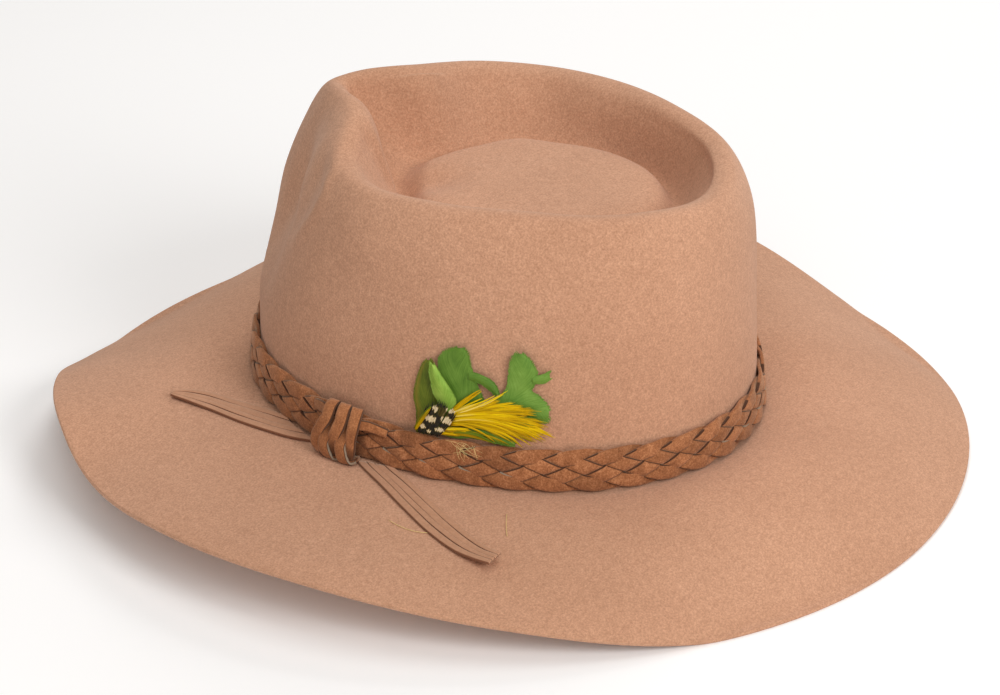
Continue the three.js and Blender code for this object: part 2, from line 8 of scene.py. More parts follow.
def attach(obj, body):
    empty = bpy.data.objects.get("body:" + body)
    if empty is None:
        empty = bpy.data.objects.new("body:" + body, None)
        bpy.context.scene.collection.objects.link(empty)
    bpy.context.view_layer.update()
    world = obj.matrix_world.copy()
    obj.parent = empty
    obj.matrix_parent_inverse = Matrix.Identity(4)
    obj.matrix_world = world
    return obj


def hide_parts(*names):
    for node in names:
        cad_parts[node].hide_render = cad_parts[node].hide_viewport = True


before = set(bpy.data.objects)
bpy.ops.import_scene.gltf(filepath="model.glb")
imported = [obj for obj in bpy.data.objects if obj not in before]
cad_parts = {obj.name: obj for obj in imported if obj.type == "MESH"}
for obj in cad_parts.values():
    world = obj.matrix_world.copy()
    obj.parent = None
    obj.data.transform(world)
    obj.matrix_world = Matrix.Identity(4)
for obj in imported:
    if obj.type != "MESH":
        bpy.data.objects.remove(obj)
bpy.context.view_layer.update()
RNG = np.random.default_rng(7)

# Shape of the hat in millimetres: front -Y, wearer's left +X, angles from the front towards the left
FELT = 2.2
REST, REST_EASE = 1.6, 0.6
HEAD_LONG, HEAD_WIDE = 99.9, 88.3
BREAK_Z, BREAK_FRONT, BREAK_SIDES = 24.2, 3.5, -1.6
WALL_FOOT, WALL_LOW, WALL_HIGH = 12.6, 60.0, 91.5
RIM_HALF = 3.7
ISLAND_Z, ISLAND_MID, ISLAND_TOP = 108.2, 109.7, 110.2
LIFT = 2.2
LEAN_AXIS, LEAN, LEAN_DROP = (-0.3282, -0.9446, 0.0), 0.98, -1.2
CENTRE = (-0.3, -2.9)

# Brim by angle: height of the edge, bow of the section and width
BRIM_AT = [0, 12, 24, 36, 50, 70, 95, 120, 150, 180, 210, 228, 240, 265, 290, 310, 335, 346]
EDGE_Z = [-2.2, 5, 17.7, 23.8, 17.3, 19.9, 20.5, 12.4, -2.1, 1.5, 3.6, 0.4, 5.6, 20.1, 23, 17.3, 5.4, -0.9]
BOW = [0.95, 0.98, 1.07, 1.21, 1.32, 1.16, 1.14, 1.5, 2, 2.66, 2.02, 1.65, 1.43, 1.12, 1.17, 1.19, 1.08, 1.01]
WIDTH = [80.7, 81, 81.1, 81.6, 82.1, 82.8, 82.6, 82.1, 83.3, 83.7, 85.4, 84.8, 83.3, 81.5, 80.7, 79.5,
         78.5, 79.5]

# Crown by angle, the same on both sides: wall, rim, shoulder, inside of the rim, valley and plateau
CROWN_AT = [0, 8, 16, 26, 38, 52, 70, 95, 125, 155, 180]
LOW_IN = [-1.5, -1.5, 0.3, 2.4, 2.2, 1.7, 1.3, 1.3, 1, 1, 1]
HIGH_IN = [1, 6.5, 16, 16, 10.5, 7.8, 7.1, 6.4, 4.1, 2.2, 2.5]
RIM_R = [75, 69, 61.5, 58.5, 61, 66.8, 69.8, 67.5, 69.6, 81, 86]
RIM_Z = [133.2, 134.7, 135.6, 134.5, 131.9, 128.2, 125.4, 125.4, 124.8, 121.9, 119.5]
SHOULDER_OUT = [11.4, 13, 13.5, 13.9, 13.6, 11.4, 9.3, 9, 9.6, 10, 9.2]
SHOULDER_DOWN = [11.6, 13.8, 13.6, 12.6, 11.6, 11.7, 11.8, 11.7, 11.5, 11, 11]
INSIDE_IN = [9.4, 9.3, 9.2, 9.1, 9.3, 9.5, 9.6, 9.2, 7.6, 6, 6]
INSIDE_DOWN = [9.4, 9.4, 9.4, 9.4, 8.6, 8.3, 7.6, 7.4, 7.2, 6.8, 6.6]
VALLEY_R = [46.5, 46.5, 44.5, 41, 40.5, 43.2, 47.2, 50.4, 57.5, 65, 67.5]
VALLEY_Z = [101.7, 100.8, 99.7, 99.5, 99.6, 99.8, 99.9, 99.9, 99.9, 99.8, 99.8]
ISLAND_R = [32.5, 31.5, 30.5, 30.5, 31.5, 33.5, 37, 39, 47, 54.5, 56.5]

# Camera, millimetres and degrees
CAM_AT = (967.84, 517.52, 617.75)
CAM_TURN, CAM_UP, CAM_ROLL = 118.377, 27.974, -0.813
LENS_MM = 114.05


def smooth_curve(knots, values, at):
    """Value at each place: a cubic between two knots; a slope is the weighted mean of the spans beside."""
    k, v, t = np.asarray(knots, float), np.asarray(values, float), np.asarray(at, float)
    h = np.diff(k)
    s = np.diff(v) / h
    m = np.r_[0, (h[:-1] * s[1:] + h[1:] * s[:-1]) / (h[:-1] + h[1:]), 0]
    i = np.clip(np.searchsorted(k, t, side="right") - 1, 1, len(k) - 3)
    u = (t - k[i]) / h[i]
    base = v[i] * (1 - u) ** 2 * (1 + 2 * u) + v[i + 1] * u * u * (3 - 2 * u)
    return base + h[i] * u * (1 - u) * ((1 - u) * m[i] - u * m[i + 1])


def around(values, deg):
    """Brim table at an angle; the table closes round the hat."""
    knots = [BRIM_AT[-2] - 360, BRIM_AT[-1] - 360] + BRIM_AT + [360, BRIM_AT[1] + 360]
    return smooth_curve(knots, [values[-2], values[-1]] + values + values[:2], np.mod(deg, 360))


def mirrored(values, deg):
    """Crown table at an angle; the table mirrors at the front and the back."""
    at = 180 - np.abs(180 - np.mod(deg, 360))
    knots = [-CROWN_AT[1]] + CROWN_AT + [360 - CROWN_AT[-2]]
    return smooth_curve(knots, [values[1]] + values + [values[-2]], at)


def cos_sin(deg):
    """Cosine and sine of angles in degrees."""
    t = np.radians(deg)
    return np.cos(t), np.sin(t)


def head_oval(deg):
    """Radius of the ellipse at the brim break."""
    c, s = cos_sin(deg)
    return 1 / np.hypot(s / HEAD_WIDE, c / HEAD_LONG)


def break_z(deg):
    """Height of the brim break: a mean plus one and two waves round the hat."""
    c, _ = cos_sin(deg)
    return BREAK_Z + BREAK_FRONT * c + BREAK_SIDES * (2 * c * c - 1)


def outward(deg):
    """Unit normal of the ellipse in plan."""
    c, s = cos_sin(deg)
    x, y = s / HEAD_WIDE ** 2, -c / HEAD_LONG ** 2
    n = np.hypot(x, y)
    return x / n, y / n


def pushed(p, deg, out):
    """Points moved out by a distance along the ellipse's normal."""
    nx, ny = outward(deg)
    p[..., 0] += nx * out
    p[..., 1] += ny * out
    return p


def plan(deg, r, z):
    """Point at an angle, a radius and a height."""
    c, s = cos_sin(deg)
    return np.stack(np.broadcast_arrays(r * s, -r * c, z), -1)


def brim_reach(deg):
    """Rise of the brim from the break to its edge, and its reach in plan."""
    rise = around(EDGE_Z, deg) + LIFT - break_z(deg)
    return rise, np.sqrt(around(WIDTH, deg) ** 2 - rise ** 2)


def brim_at(deg, share):
    """Brim's upper face: straight out from the oval, with the height a parabola of the share of the width."""
    rise, reach = brim_reach(deg)
    bow = around(BOW, deg)
    p = plan(deg, head_oval(deg), break_z(deg) + rise * ((1 - bow) * share + bow * share ** 2))
    return pushed(p, deg, reach * share)


def brim_out(deg, out):
    """Brim's upper face at a distance out from the head oval."""
    return brim_at(deg, out / brim_reach(deg)[1])


def crown_stations(deg):
    """Radius and height of the crown's twelve named stations, shape (12, angles, 2)."""
    r, zb = head_oval(deg), break_z(deg)
    rim_r, rim_z, island = mirrored(RIM_R, deg), mirrored(RIM_Z, deg), mirrored(ISLAND_R, deg)
    one = np.ones_like(r)
    rows = [
        (r, zb),
        (r - 0.3, zb + WALL_FOOT),
        (r - mirrored(LOW_IN, deg), WALL_LOW * one),
        (r - mirrored(HIGH_IN, deg), WALL_HIGH * one),
        (rim_r + mirrored(SHOULDER_OUT, deg), rim_z - mirrored(SHOULDER_DOWN, deg)),
        (rim_r + RIM_HALF, rim_z - 0.6),
        (rim_r - RIM_HALF, rim_z - 0.6),
        (rim_r - mirrored(INSIDE_IN, deg), rim_z - mirrored(INSIDE_DOWN, deg)),
        (mirrored(VALLEY_R, deg), mirrored(VALLEY_Z, deg)),
        (island, ISLAND_Z * one),
        (island * 0.5, ISLAND_MID * one),
        (0 * one, ISLAND_TOP * one),
    ]
    return np.stack([np.stack(row, -1) for row in rows])


def rounded(rows, k, u):
    """Catmull-Rom curve from row k to row k + 1, with the end rows mirrored past the ends."""
    p = np.concatenate([2 * rows[:1] - rows[1:2], rows, 2 * rows[-1:] - rows[-2:-1]])
    a, b, c, e = p[k], p[k + 1], p[k + 2], p[k + 3]
    curve = 2 * b + (c - a) * u + (2 * a - 5 * b + 4 * c - e) * u * u + (3 * b - a - 3 * c + e) * u ** 3
    return 0.5 * curve


def smooth_rows(table, steps):
    """Table filled in along the rounded curve, with so many steps from each row to the next."""
    rows = np.asarray(table, float)
    shares = np.linspace(0, 1, steps + 1)[:-1]
    return np.stack([rounded(rows, k, u) for k in range(len(rows) - 1) for u in shares] + [rows[-1]])


def wall_radius(deg, z):
    """Radius of the crown's wall at an angle and a height, read off the section curve."""
    deg, z = np.broadcast_arrays(np.asarray(deg, float), np.asarray(z, float))
    flat, height = deg.ravel(), z.ravel()
    st = crown_stations(flat)
    curve = np.stack([rounded(st, k, u) for k in range(4) for u in np.linspace(0, 1, 9)[:-1]] + [st[4]])
    i = np.clip((curve[..., 1] <= height).sum(0) - 1, 0, len(curve) - 2)
    j = np.arange(len(flat))
    a, b = curve[i, j], curve[i + 1, j]
    t = (height - a[:, 1]) / (b[:, 1] - a[:, 1])
    return (a[:, 0] + (b[:, 0] - a[:, 0]) * t).reshape(deg.shape)


def wall_at(deg, z, lift):
    """Point off the crown's wall by a lift, square to the head oval."""
    return pushed(plan(deg, wall_radius(deg, z), z), deg, lift)


LEAN_TURN = np.array(Matrix.Rotation(math.radians(LEAN), 3, Vector(LEAN_AXIS).normalized()))


def settle(p):
    """Turns a point of the worn hat by the lean and drops it onto the table."""
    return p @ LEAN_TURN.T + np.array([CENTRE[0], CENTRE[1], LEAN_DROP])


def flatten(p):
    """Heights under the resting height ease up to it: a hyperbola with the ease as its width."""
    q = p.copy()
    d = q[..., 2] - REST
    q[..., 2] = REST + 0.5 * (d + np.sqrt(d * d + REST_EASE ** 2))
    return q


def unit(v):
    """Vectors scaled to length one."""
    return v / np.maximum(np.linalg.norm(v, axis=-1, keepdims=True), 1e-12)


def bell(x, middle, width):
    """Bell curve of a coordinate, one high at its middle."""
    return np.exp(-((x - middle) / width) ** 2)


def fade(x, low, rise, high, fall):
    """One between two values, and down to nothing over a span below and a span above."""
    return np.clip((x - low) / rise, 0, 1) * np.clip((high - x) / fall, 0, 1)


def ring_faces(rings, points):
    """Quads between rings of points, one ring of vertices after another, closed round each ring."""
    i, j = np.meshgrid(np.arange(rings - 1), np.arange(points), indexing="ij")
    j2 = (j + 1) % points
    quads = np.stack([i * points + j, i * points + j2, (i + 1) * points + j2, (i + 1) * points + j], -1)
    return quads.reshape(-1, 4)


def signed_volume(v, quads):
    """Sum of the signed tetrahedra under the quads' triangles."""
    a, b, c, d = (v[quads[:, k]] for k in range(4))
    return (np.einsum("ij,ij->i", a, np.cross(b, c)) + np.einsum("ij,ij->i", a, np.cross(c, d))).sum()


def tube_faces(verts, rings, points, tubes=1):
    """Quads and end fans of a number of like tubes; the first one's volume says which way is out."""
    quads = ring_faces(rings, points)
    j = np.arange(1, points - 1)
    last = (rings - 1) * points
    fans = np.concatenate([np.stack([0 * j, j + 1, j], -1), np.stack([0 * j, j, j + 1], -1) + last])
    first = verts[:rings * points]
    if signed_volume(first - first.mean(0), quads) < 0:
        quads, fans = quads[:, ::-1], fans[:, ::-1]
    start = np.arange(tubes)[:, None, None] * rings * points
    return (start + quads).reshape(-1, 4), (start + fans).reshape(-1, 3)


def tube_uv(x, rings):
    """UVs of a tube: across it by the section's coordinate from -1 to 1, along it from ring to ring."""
    u, v = np.broadcast_arrays(x[None] / 2 + 0.5, np.linspace(0, 1, rings)[:, None])
    return np.stack([u, v], -1).reshape(-1, 2)


def make_piece(name, shape, material, nodes, fields=None):
    """Piece from its vertices in millimetres, quads, triangles and UVs, with float fields on its vertices."""
    verts, quads, tris, uv = shape
    mesh = bpy.data.meshes.new(name)
    mesh.vertices.add(len(verts))
    mesh.vertices.foreach_set("co", (verts * 0.001).astype(np.float32).ravel())
    loops = np.concatenate([quads.ravel(), tris.ravel()]).astype(np.int32)
    sizes = np.concatenate([np.full(len(quads), 4), np.full(len(tris), 3)])
    mesh.loops.add(len(loops))
    mesh.loops.foreach_set("vertex_index", loops)
    mesh.polygons.add(len(sizes))
    mesh.polygons.foreach_set("loop_start", np.r_[0, np.cumsum(sizes)[:-1]].astype(np.int32))
    mesh.polygons.foreach_set("use_smooth", np.ones(len(sizes), bool))
    mesh.update(calc_edges=True)
    if uv is not None:
        layer = mesh.uv_layers.new(name="UVMap")
        layer.data.foreach_set("uv", np.asarray(uv, np.float32)[loops].ravel())
    for key, values in (fields or {}).items():
        attribute = mesh.attributes.new(key, "FLOAT", "POINT")
        attribute.data.foreach_set("value", np.asarray(values, np.float32).ravel())
    mesh.validate()
    mesh.materials.append(material)
    piece = bpy.data.objects.new(name, mesh)
    bpy.context.scene.collection.objects.link(piece)
    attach(piece, "root")
    if nodes:
        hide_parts(*nodes)


def join_shapes(shapes):
    """Several shapes as one, with the face numbers moved on."""
    starts = np.cumsum([0] + [len(shape[0]) for shape in shapes[:-1]])
    quads = np.concatenate([shape[1] + at for shape, at in zip(shapes, starts)])
    tris = np.concatenate([shape[2] + at for shape, at in zip(shapes, starts)])
    return np.concatenate([s[0] for s in shapes]), quads, tris, np.concatenate([s[3] for s in shapes])


def ribbon(centre, across, normal, half_wide, half_thick, section):
    """Strands with one section each: centre plus across and normal times the section's two coordinates.

    centre, across and normal have the shape (strands, stations, 3), the half sizes (strands, stations),
    and section (points, 2). Returns the vertices, quads, triangles and UVs.
    """
    strands, stations = centre.shape[:2]
    x = section[:, :1] * half_wide[..., None, None]
    y = section[:, 1:] * half_thick[..., None, None]
    v = (centre[:, :, None] + across[:, :, None] * x + normal[:, :, None] * y).reshape(-1, 3)
    quads, tris = tube_faces(v, stations, len(section), strands)
    return v, quads, tris, np.tile(tube_uv(section[:, 0], stations), (strands, 1))


def strand_frames(centre, normal):
    """Across direction and squared normal for paths: across is normal times tangent."""
    tangent = unit(np.gradient(centre, axis=1))
    across = unit(np.cross(normal, tangent))
    return across, unit(np.cross(tangent, across))


class Finish:
    """A material: its shader, and short ways to add nodes to it."""

    def __init__(self, name, colour, roughness):
        self.material = bpy.data.materials.new(name)
        self.material.use_nodes = True
        self.tree = self.material.node_tree
        self.shader = self.tree.nodes["Principled BSDF"].inputs
        self.shader["Base Color"].default_value = (*colour, 1)
        self.shader["Roughness"].default_value = roughness

    def add(self, kind, **values):
        """New node, with its input sockets and its settings given by name."""
        node = self.tree.nodes.new(kind)
        for key, value in values.items():
            if key in node.inputs:
                node.inputs[key].default_value = value
            else:
                setattr(node, key, value)
        return node

    def feed(self, socket, value):
        """A number, a plain colour or another node's output on a socket."""
        if isinstance(value, (int, float)):
            socket.default_value = value
        elif isinstance(value, tuple):
            socket.default_value = (*value, 1)
        else:
            self.tree.links.new(value, socket)

    def place(self, kind="Object"):
        """Coordinates on the piece, by the object's own axes or by its UVs."""
        return self.add("ShaderNodeTexCoord").outputs[kind]

    def field(self, name):
        """Float field of the mesh."""
        return self.add("ShaderNodeAttribute", attribute_name=name).outputs["Fac"]

    def noise(self, at, scale, detail=4.0, rough=0.6):
        """Noise texture on coordinates."""
        node = self.add("ShaderNodeTexNoise", Scale=scale, Detail=detail, Roughness=rough)
        self.feed(node.inputs["Vector"], at)
        return node.outputs["Fac"]

    def ramp(self, source, stops):
        """Colour ramp with stops of position and colour."""
        node = self.add("ShaderNodeValToRGB")
        elements = node.color_ramp.elements
        while len(elements) < len(stops):
            elements.new(0.5)
        for element, (at, colour) in zip(elements, stops):
            element.position = at
            element.color = (*colour, 1)
        self.feed(node.inputs["Fac"], source)
        return node.outputs["Color"]

    def blend(self, share, a, b, mode="MIX"):
        """Mix of two colours by a share."""
        node = self.add("ShaderNodeMix", data_type="RGBA", blend_type=mode)
        for number, value in ((0, share), (6, a), (7, b)):
            self.feed(node.inputs[number], value)
        return node.outputs[2]

    def tinted(self, colour, tint):
        """Colour multiplied by a tint."""
        return self.blend(1.0, colour, tint, "MULTIPLY")

    def maths(self, kind, a, b=0.0):
        """Maths node on outputs or numbers."""
        node = self.add("ShaderNodeMath", operation=kind)
        self.feed(node.inputs[0], a)
        self.feed(node.inputs[1], b)
        return node.outputs[0]

    def weighted(self, a, share, b):
        """Sum of two outputs, the first by a share and the second by the rest."""
        return self.maths("ADD", self.maths("MULTIPLY", a, share), self.maths("MULTIPLY", b, 1 - share))

    def sheen(self, weight, roughness, tint):
        """Fuzz of a brushed surface."""
        self.shader["Sheen Weight"].default_value = weight
        self.shader["Sheen Roughness"].default_value = roughness
        self.shader["Sheen Tint"].default_value = (*tint, 1)

    def gloss(self, level):
        """Strength of the mirror reflection."""
        self.shader["Specular IOR Level"].default_value = level

    def bump(self, height, strength, metres):
        """Fine relief from an output."""
        node = self.add("ShaderNodeBump", Strength=strength, Distance=metres)
        self.feed(node.inputs["Height"], height)
        self.feed(self.shader["Normal"], node.outputs["Normal"])


WHITE, BLACK = (1, 1, 1), (0, 0, 0)
FIBRE_DARK, FIBRE, FIBRE_LIGHT = (0.445, 0.224, 0.129), (0.55, 0.29, 0.175), (0.655, 0.36, 0.226)
CUT_EDGE = (0.3, 0.225, 0.16)
# Edge colour: partly the leather's darker cut sides, partly painted shade in the gaps between strands; edge_from
# is where it begins across the section.
BRAID_SUEDE = {
    "face": (0.35, 0.134, 0.053), "dark": (0.2, 0.07, 0.026), "light": (0.54, 0.24, 0.11),
    "edge": (0.07, 0.025, 0.012), "edge_from": 0.9, "grain": 1500,
}
KNOT_SUEDE = {
    "face": (0.36, 0.138, 0.052), "dark": (0.23, 0.08, 0.029), "light": (0.52, 0.22, 0.092),
    "edge": (0.09, 0.033, 0.015), "edge_from": 0.93, "grain": 1500,
}
THONG_SUEDE = {
    "face": (0.5, 0.262, 0.158), "dark": (0.45, 0.23, 0.136), "light": (0.55, 0.295, 0.182),
    "edge": (0.24, 0.1, 0.052), "edge_from": 0.95, "grain": 700,
}


def felt_material():
    """Brushed felt: fine light and dark fibres, slow mottling, a soft sheen and a fine bump."""
    felt = Finish("felt", (0.5, 0.28, 0.17), 0.95)
    at = felt.place()
    fine = felt.noise(at, 1350, 4, 0.7)
    grain = felt.noise(at, 420, 4, 0.6)
    slow = felt.noise(at, 22, 3, 0.5)
    colour = felt.ramp(fine, [(0.34, FIBRE_DARK), (0.5, FIBRE), (0.66, FIBRE_LIGHT)])
    colour = felt.tinted(colour, felt.ramp(grain, [(0.32, (0.93, 0.92, 0.91)), (0.68, (1.06, 1.07, 1.08))]))
    colour = felt.tinted(colour, felt.ramp(slow, [(0.3, (0.95, 0.94, 0.93)), (0.7, (1.04, 1.05, 1.06))]))
    felt.feed(felt.shader["Base Color"], colour)
    felt.sheen(0.2, 0.6, (1, 0.86, 0.76))
    felt.gloss(0.15)
    felt.bump(felt.maths("ADD", fine, grain), 0.35, 0.0006)
    return felt.material


def suede_material(name, face, dark, light, edge, edge_from, grain):
    """Suede: a mottled face by tone, painted shade where it dives under, darker edges that are partly its cut
    sides and partly painted shade in the gaps, pale at a bare cut.
    """
    suede = Finish(name, face, 0.85)
    at = suede.place()
    fine = suede.noise(at, grain, 5, 0.7)
    nap = suede.weighted(fine, 0.7, suede.noise(at, 260, 3, 0.6))
    colour = suede.ramp(nap, [(0.36, dark), (0.5, face), (0.64, light)])
    shades = [(0.0, (0.8, 0.78, 0.76)), (1.0, (1.18, 1.17, 1.16))]
    colour = suede.tinted(colour, suede.ramp(suede.field("tone"), shades))
    # Painted shade: darker where the strand lies under other strands or under the knot's upper turns.
    colour = suede.tinted(colour, suede.ramp(suede.field("painted_shade"), [(0.0, WHITE), (1.0, (0.22, 0.19, 0.17))]))
    # Darker edges: partly the leather's cut sides, partly painted shade in the gaps between strands.
    side = suede.maths("ADD", suede.field("side"), suede.maths("MULTIPLY", fine, 0.1))
    cut_side_and_shade = suede.ramp(side, [(edge_from, BLACK), (min(edge_from + 0.08, 1), WHITE)])
    colour = suede.blend(cut_side_and_shade, colour, edge)
    cut = suede.ramp(suede.field("bare"), [(0.9, BLACK), (0.95, WHITE)])
    suede.feed(suede.shader["Base Color"], suede.blend(cut, colour, CUT_EDGE))
    suede.gloss(0.15)
    suede.sheen(0.4, 0.5, (1, 0.75, 0.55))
    suede.bump(nap, 0.5, 0.0005)
    return suede.material


def vane_material(name, dark, mid, light, rim=None):
    """Feather vane: fine slanting barbs from the middle shaft to the edges, on the vane's UVs."""
    vane = Finish(name, mid, 0.55)
    split = vane.add("ShaderNodeSeparateXYZ")
    vane.feed(split.inputs[0], vane.place("UV"))
    off = vane.maths("ABSOLUTE", vane.maths("SUBTRACT", split.outputs[0], 0.5))
    along = vane.maths("SUBTRACT", split.outputs[1], vane.maths("MULTIPLY", off, 0.7))
    slanted = vane.add("ShaderNodeCombineXYZ")
    vane.feed(slanted.inputs[0], vane.maths("MULTIPLY", split.outputs[0], 2.0))
    vane.feed(slanted.inputs[1], vane.maths("MULTIPLY", along, 70.0))
    barbs = vane.noise(slanted.outputs[0], 1.0, 3, 0.6)
    cloud = vane.noise(vane.place(), 160, 3, 0.5)
    colour = vane.ramp(vane.weighted(barbs, 0.6, cloud), [(0.32, dark), (0.5, mid), (0.68, light)])
    if rim:
        colour = vane.blend(vane.ramp(split.outputs[0], [(0.0, WHITE), (0.3, BLACK)]), colour, rim)
    vane.feed(vane.shader["Base Color"], colour)
    vane.gloss(0.3)
    vane.bump(barbs, 0.35, 0.0003)
    return vane.material


def tone_material(name, stops, roughness=0.5):
    """Colour by the tone field through a ramp, for strands."""
    strand = Finish(name, stops[1][1], roughness)
    strand.feed(strand.shader["Base Color"], strand.ramp(strand.field("tone"), stops))
    strand.gloss(0.12)
    return strand.material


# Pinch at the front: angle of the outer ridge and of the inner fold at rising heights
RIDGE_Z, RIDGE_AT = [92, 98, 107.6, 118.6, 125.8, 131], [45, 48.2, 53.8, 57.5, 55.5, 47]
FOLD_Z, FOLD_AT = [100, 120, 128, 134], [31.5, 31, 29.5, 25]
# Bells across the ridge and the fold: lift, angle from it and width
RIDGE_BELLS = [(1.2, 0, 2.4), (-2.2, -9, 6)]
FOLD_BELLS = [(0.9, 0, 2.8), (-1.0, 8, 5.5)]
# Heights between which they show: lower one and its span, upper one and its span
RIDGE_FADE, FOLD_FADE = (88, 12, 129, 7), (102, 6, 133, 6)
# Slow waves of the felt: height, waves round the hat and their phase, step at each ring and its phase
FELT_WAVES = [(0.22, 5, 0.7, 0.21, 0), (0.16, 9, 2.1, 0.33, 1)]
# Uneven floor of the hollow: place, lift and reach
DIMPLES = [(15.5, -23.5, -3.4, 10), (-17, -41, 3.2, 11)]
# Rings of the felt: over the brim, round the fillet, and from each of the crown's stations to the next
BRIM_RINGS, FILLET_RINGS = 40, 6
SPAN_RINGS = [9, 8, 8, 10, 10, 8, 8, 10, 10, 6, 6]
CROWN_ROW = BRIM_RINGS + FILLET_RINGS
# Crown's rings, counted from the wall's foot: end of the outer face, start of the floor, end of the dent
FACE_END, FLOOR_FROM, DENT_END = 46, 56, 74
FILLET_TOP = 0.25
POLE_R = 0.4
INNER_STEP = 3
# Rounding of the brim's edge: share of the way through the felt, and push outwards
EDGE_ROUND = [(0.25, 0.28), (0.5, 0.36), (0.75, 0.28)]


def creases(deg, z):
    """Lift of the crown's rings at the pinch.

    Outside and inside alike it is a narrow bell on the ridge or the fold, and a wider hollow beside it.
    Both fade out below and above, and the inner fold is on the wearer's left alone.
    """
    at = (180 - np.abs(180 - np.mod(deg, 360)))[None]
    ridge, fold = at - np.interp(z, RIDGE_Z, RIDGE_AT), at - np.interp(z, FOLD_Z, FOLD_AT)
    face = sum(lift * bell(ridge, off, width) for lift, off, width in RIDGE_BELLS) * fade(z, *RIDGE_FADE)
    inside = sum(lift * bell(fold, off, width) for lift, off, width in FOLD_BELLS) * fade(z, *FOLD_FADE)
    inside *= np.mod(deg, 360) < 90
    row = np.arange(len(z))[:, None]
    return np.where(row < FACE_END, face, np.where(row < DENT_END, inside, 0))


def felt_rings(deg):
    """Outer skin, ring by ring: brim from the edge inwards, fillet, wall, rim and hollow.

    The fillet is a parabola from the brim's last ring to the wall's first, with the break as its corner.
    """
    rings = [brim_at(deg, share) for share in 1 - np.linspace(0, 1, BRIM_RINGS) ** 1.5 * 0.94]
    st = crown_stations(deg)
    corner = plan(deg, head_oval(deg), break_z(deg))
    start = rounded(st, 0, FILLET_TOP)
    foot = plan(deg, start[:, 0], start[:, 1])
    brim_end = rings[-1]
    for t in np.linspace(0, 1, FILLET_RINGS + 2)[1:-1]:
        rings.append(brim_end * (1 - t) ** 2 + corner * 2 * t * (1 - t) + foot * t * t)
    for k, count in enumerate(SPAN_RINGS):
        steps = np.linspace(0, 1, count + 1)[1:] if k else np.linspace(FILLET_TOP, 1, count + 1)
        for u in steps:
            q = rounded(st, k, u)
            rings.append(plan(deg, np.maximum(q[:, 0], POLE_R), q[:, 1]))
    return np.stack(rings)


def skin_normals(rings):
    """Normals of rings of points: the step round the ring times the step to the next ring."""
    across = np.roll(rings, -1, 1) - np.roll(rings, 1, 1)
    return unit(np.cross(across, np.gradient(rings, axis=0)))


def felt_edge(outer, inner):
    """Three rings round the brim's edge, pushed out so that the edge is rounded."""
    out = unit(outer[0] - outer[1])
    edge = np.stack([outer[0] * (1 - t) + inner[0] * t + out * push for t, push in EDGE_ROUND])
    edge[..., 2] = np.maximum(edge[..., 2], 0.0)
    return edge


def build_felt():
    """Felt cap: rings of the brim and the crown section, and the same rings moved in by the felt's thickness.

    Slow waves of a third of a millimetre stand for the hand-blocked felt, and bells for the uneven floor.
    """
    deg = np.arange(0, 360, 1.0)
    outer = felt_rings(deg)
    t, row = np.radians(deg)[None], np.arange(len(outer))[:, None]
    wave = sum(h * np.sin(n * t + a) * np.sin(row * step + b) for h, n, a, step, b in FELT_WAVES)
    wave[CROWN_ROW:] += creases(deg, outer[CROWN_ROW:, :, 2])
    wave *= np.minimum(1, row / 8.0) * np.minimum(1, (len(outer) - 1 - row) / 16.0)
    floor = outer[CROWN_ROW + FLOOR_FROM:]
    for x, y, lift, reach in DIMPLES:
        off = np.hypot(floor[..., 0] - x, floor[..., 1] - y)
        floor[..., 2] += lift * bell(off, 0, reach)
    outer = settle(outer)
    outer = outer + skin_normals(outer) * wave[..., None]
    outer[:BRIM_RINGS] = flatten(outer[:BRIM_RINGS])
    kept = np.r_[np.arange(0, BRIM_RINGS, INNER_STEP), np.arange(BRIM_RINGS + 1, len(outer), INNER_STEP)]
    inner = (outer - skin_normals(outer) * FELT)[kept]
    under = kept < BRIM_RINGS
    inner[under, :, 2] = np.maximum(inner[under, :, 2], 0)
    body = np.concatenate([inner[::-1], felt_edge(outer, inner)[::-1], outer])
    rings, points = body.shape[:2]
    verts = np.concatenate([body.reshape(-1, 3), body[-1].mean(0)[None], body[0].mean(0)[None]])
    quads = ring_faces(rings, points)
    j = np.arange(points)
    j2 = (j + 1) % points
    last, pole = (rings - 1) * points, np.full(points, rings * points)
    tris = np.concatenate([np.stack([last + j, last + j2, pole], -1), np.stack([j2, j, pole + 1], -1)])
    if signed_volume(verts, quads) < 0:
        quads, tris = quads[:, ::-1], tris[:, ::-1]
    make_piece("felt_cap", (verts, quads, tris, None), felt_material(), ["felt_body"])


# Braid: the middle surface of the band as distance out from the oval and height over the brim
BRAID_MIDDLE = [(3.1, 1.2), (2.75, 4.2), (2.4, 8.2), (1.95, 12), (1.45, 15.2), (0.85, 17.8)]
BRAID_STRANDS, STRAND_STATIONS = 5, 1000
BRAID_TURNS, BRAID_PHASE, BRAID_PEAK = 7.94, 0.072, 8.5
STRAND_WIDE, STRAND_THICK, STRAND_RISE, STRAND_SHEAR = 5.7, 1.3, 0.66, 0.031
STRAND_SNAP = 2.4
KNOT_AT = 76.7
# Feather roots push the band out: how far, at which angle and over which span
BULGE, BULGE_AT, BULGE_SPAN = 1.3, 98.0, 6.0
STRIP_HALF = 0.7


def band_at(deg, out, up):
    """Point out from the oval and up from the brim; higher up it follows the level of the break."""
    low = brim_out(deg, out)[..., 2]
    share = np.minimum(1, up / 16)
    return pushed(plan(deg, head_oval(deg), low * (1 - share) + break_z(deg) * share + up), deg, out)


def arc_table(points, count=60):
    """Even steps along a smooth curve through the points: arc length and the two coordinates."""
    line = smooth_rows(points, 12)
    s = np.r_[0, np.cumsum(np.hypot(*np.diff(line, axis=0).T))]
    at = np.linspace(0, s[-1], count)
    return at, np.interp(at, s, line[:, 0]), np.interp(at, s, line[:, 1])


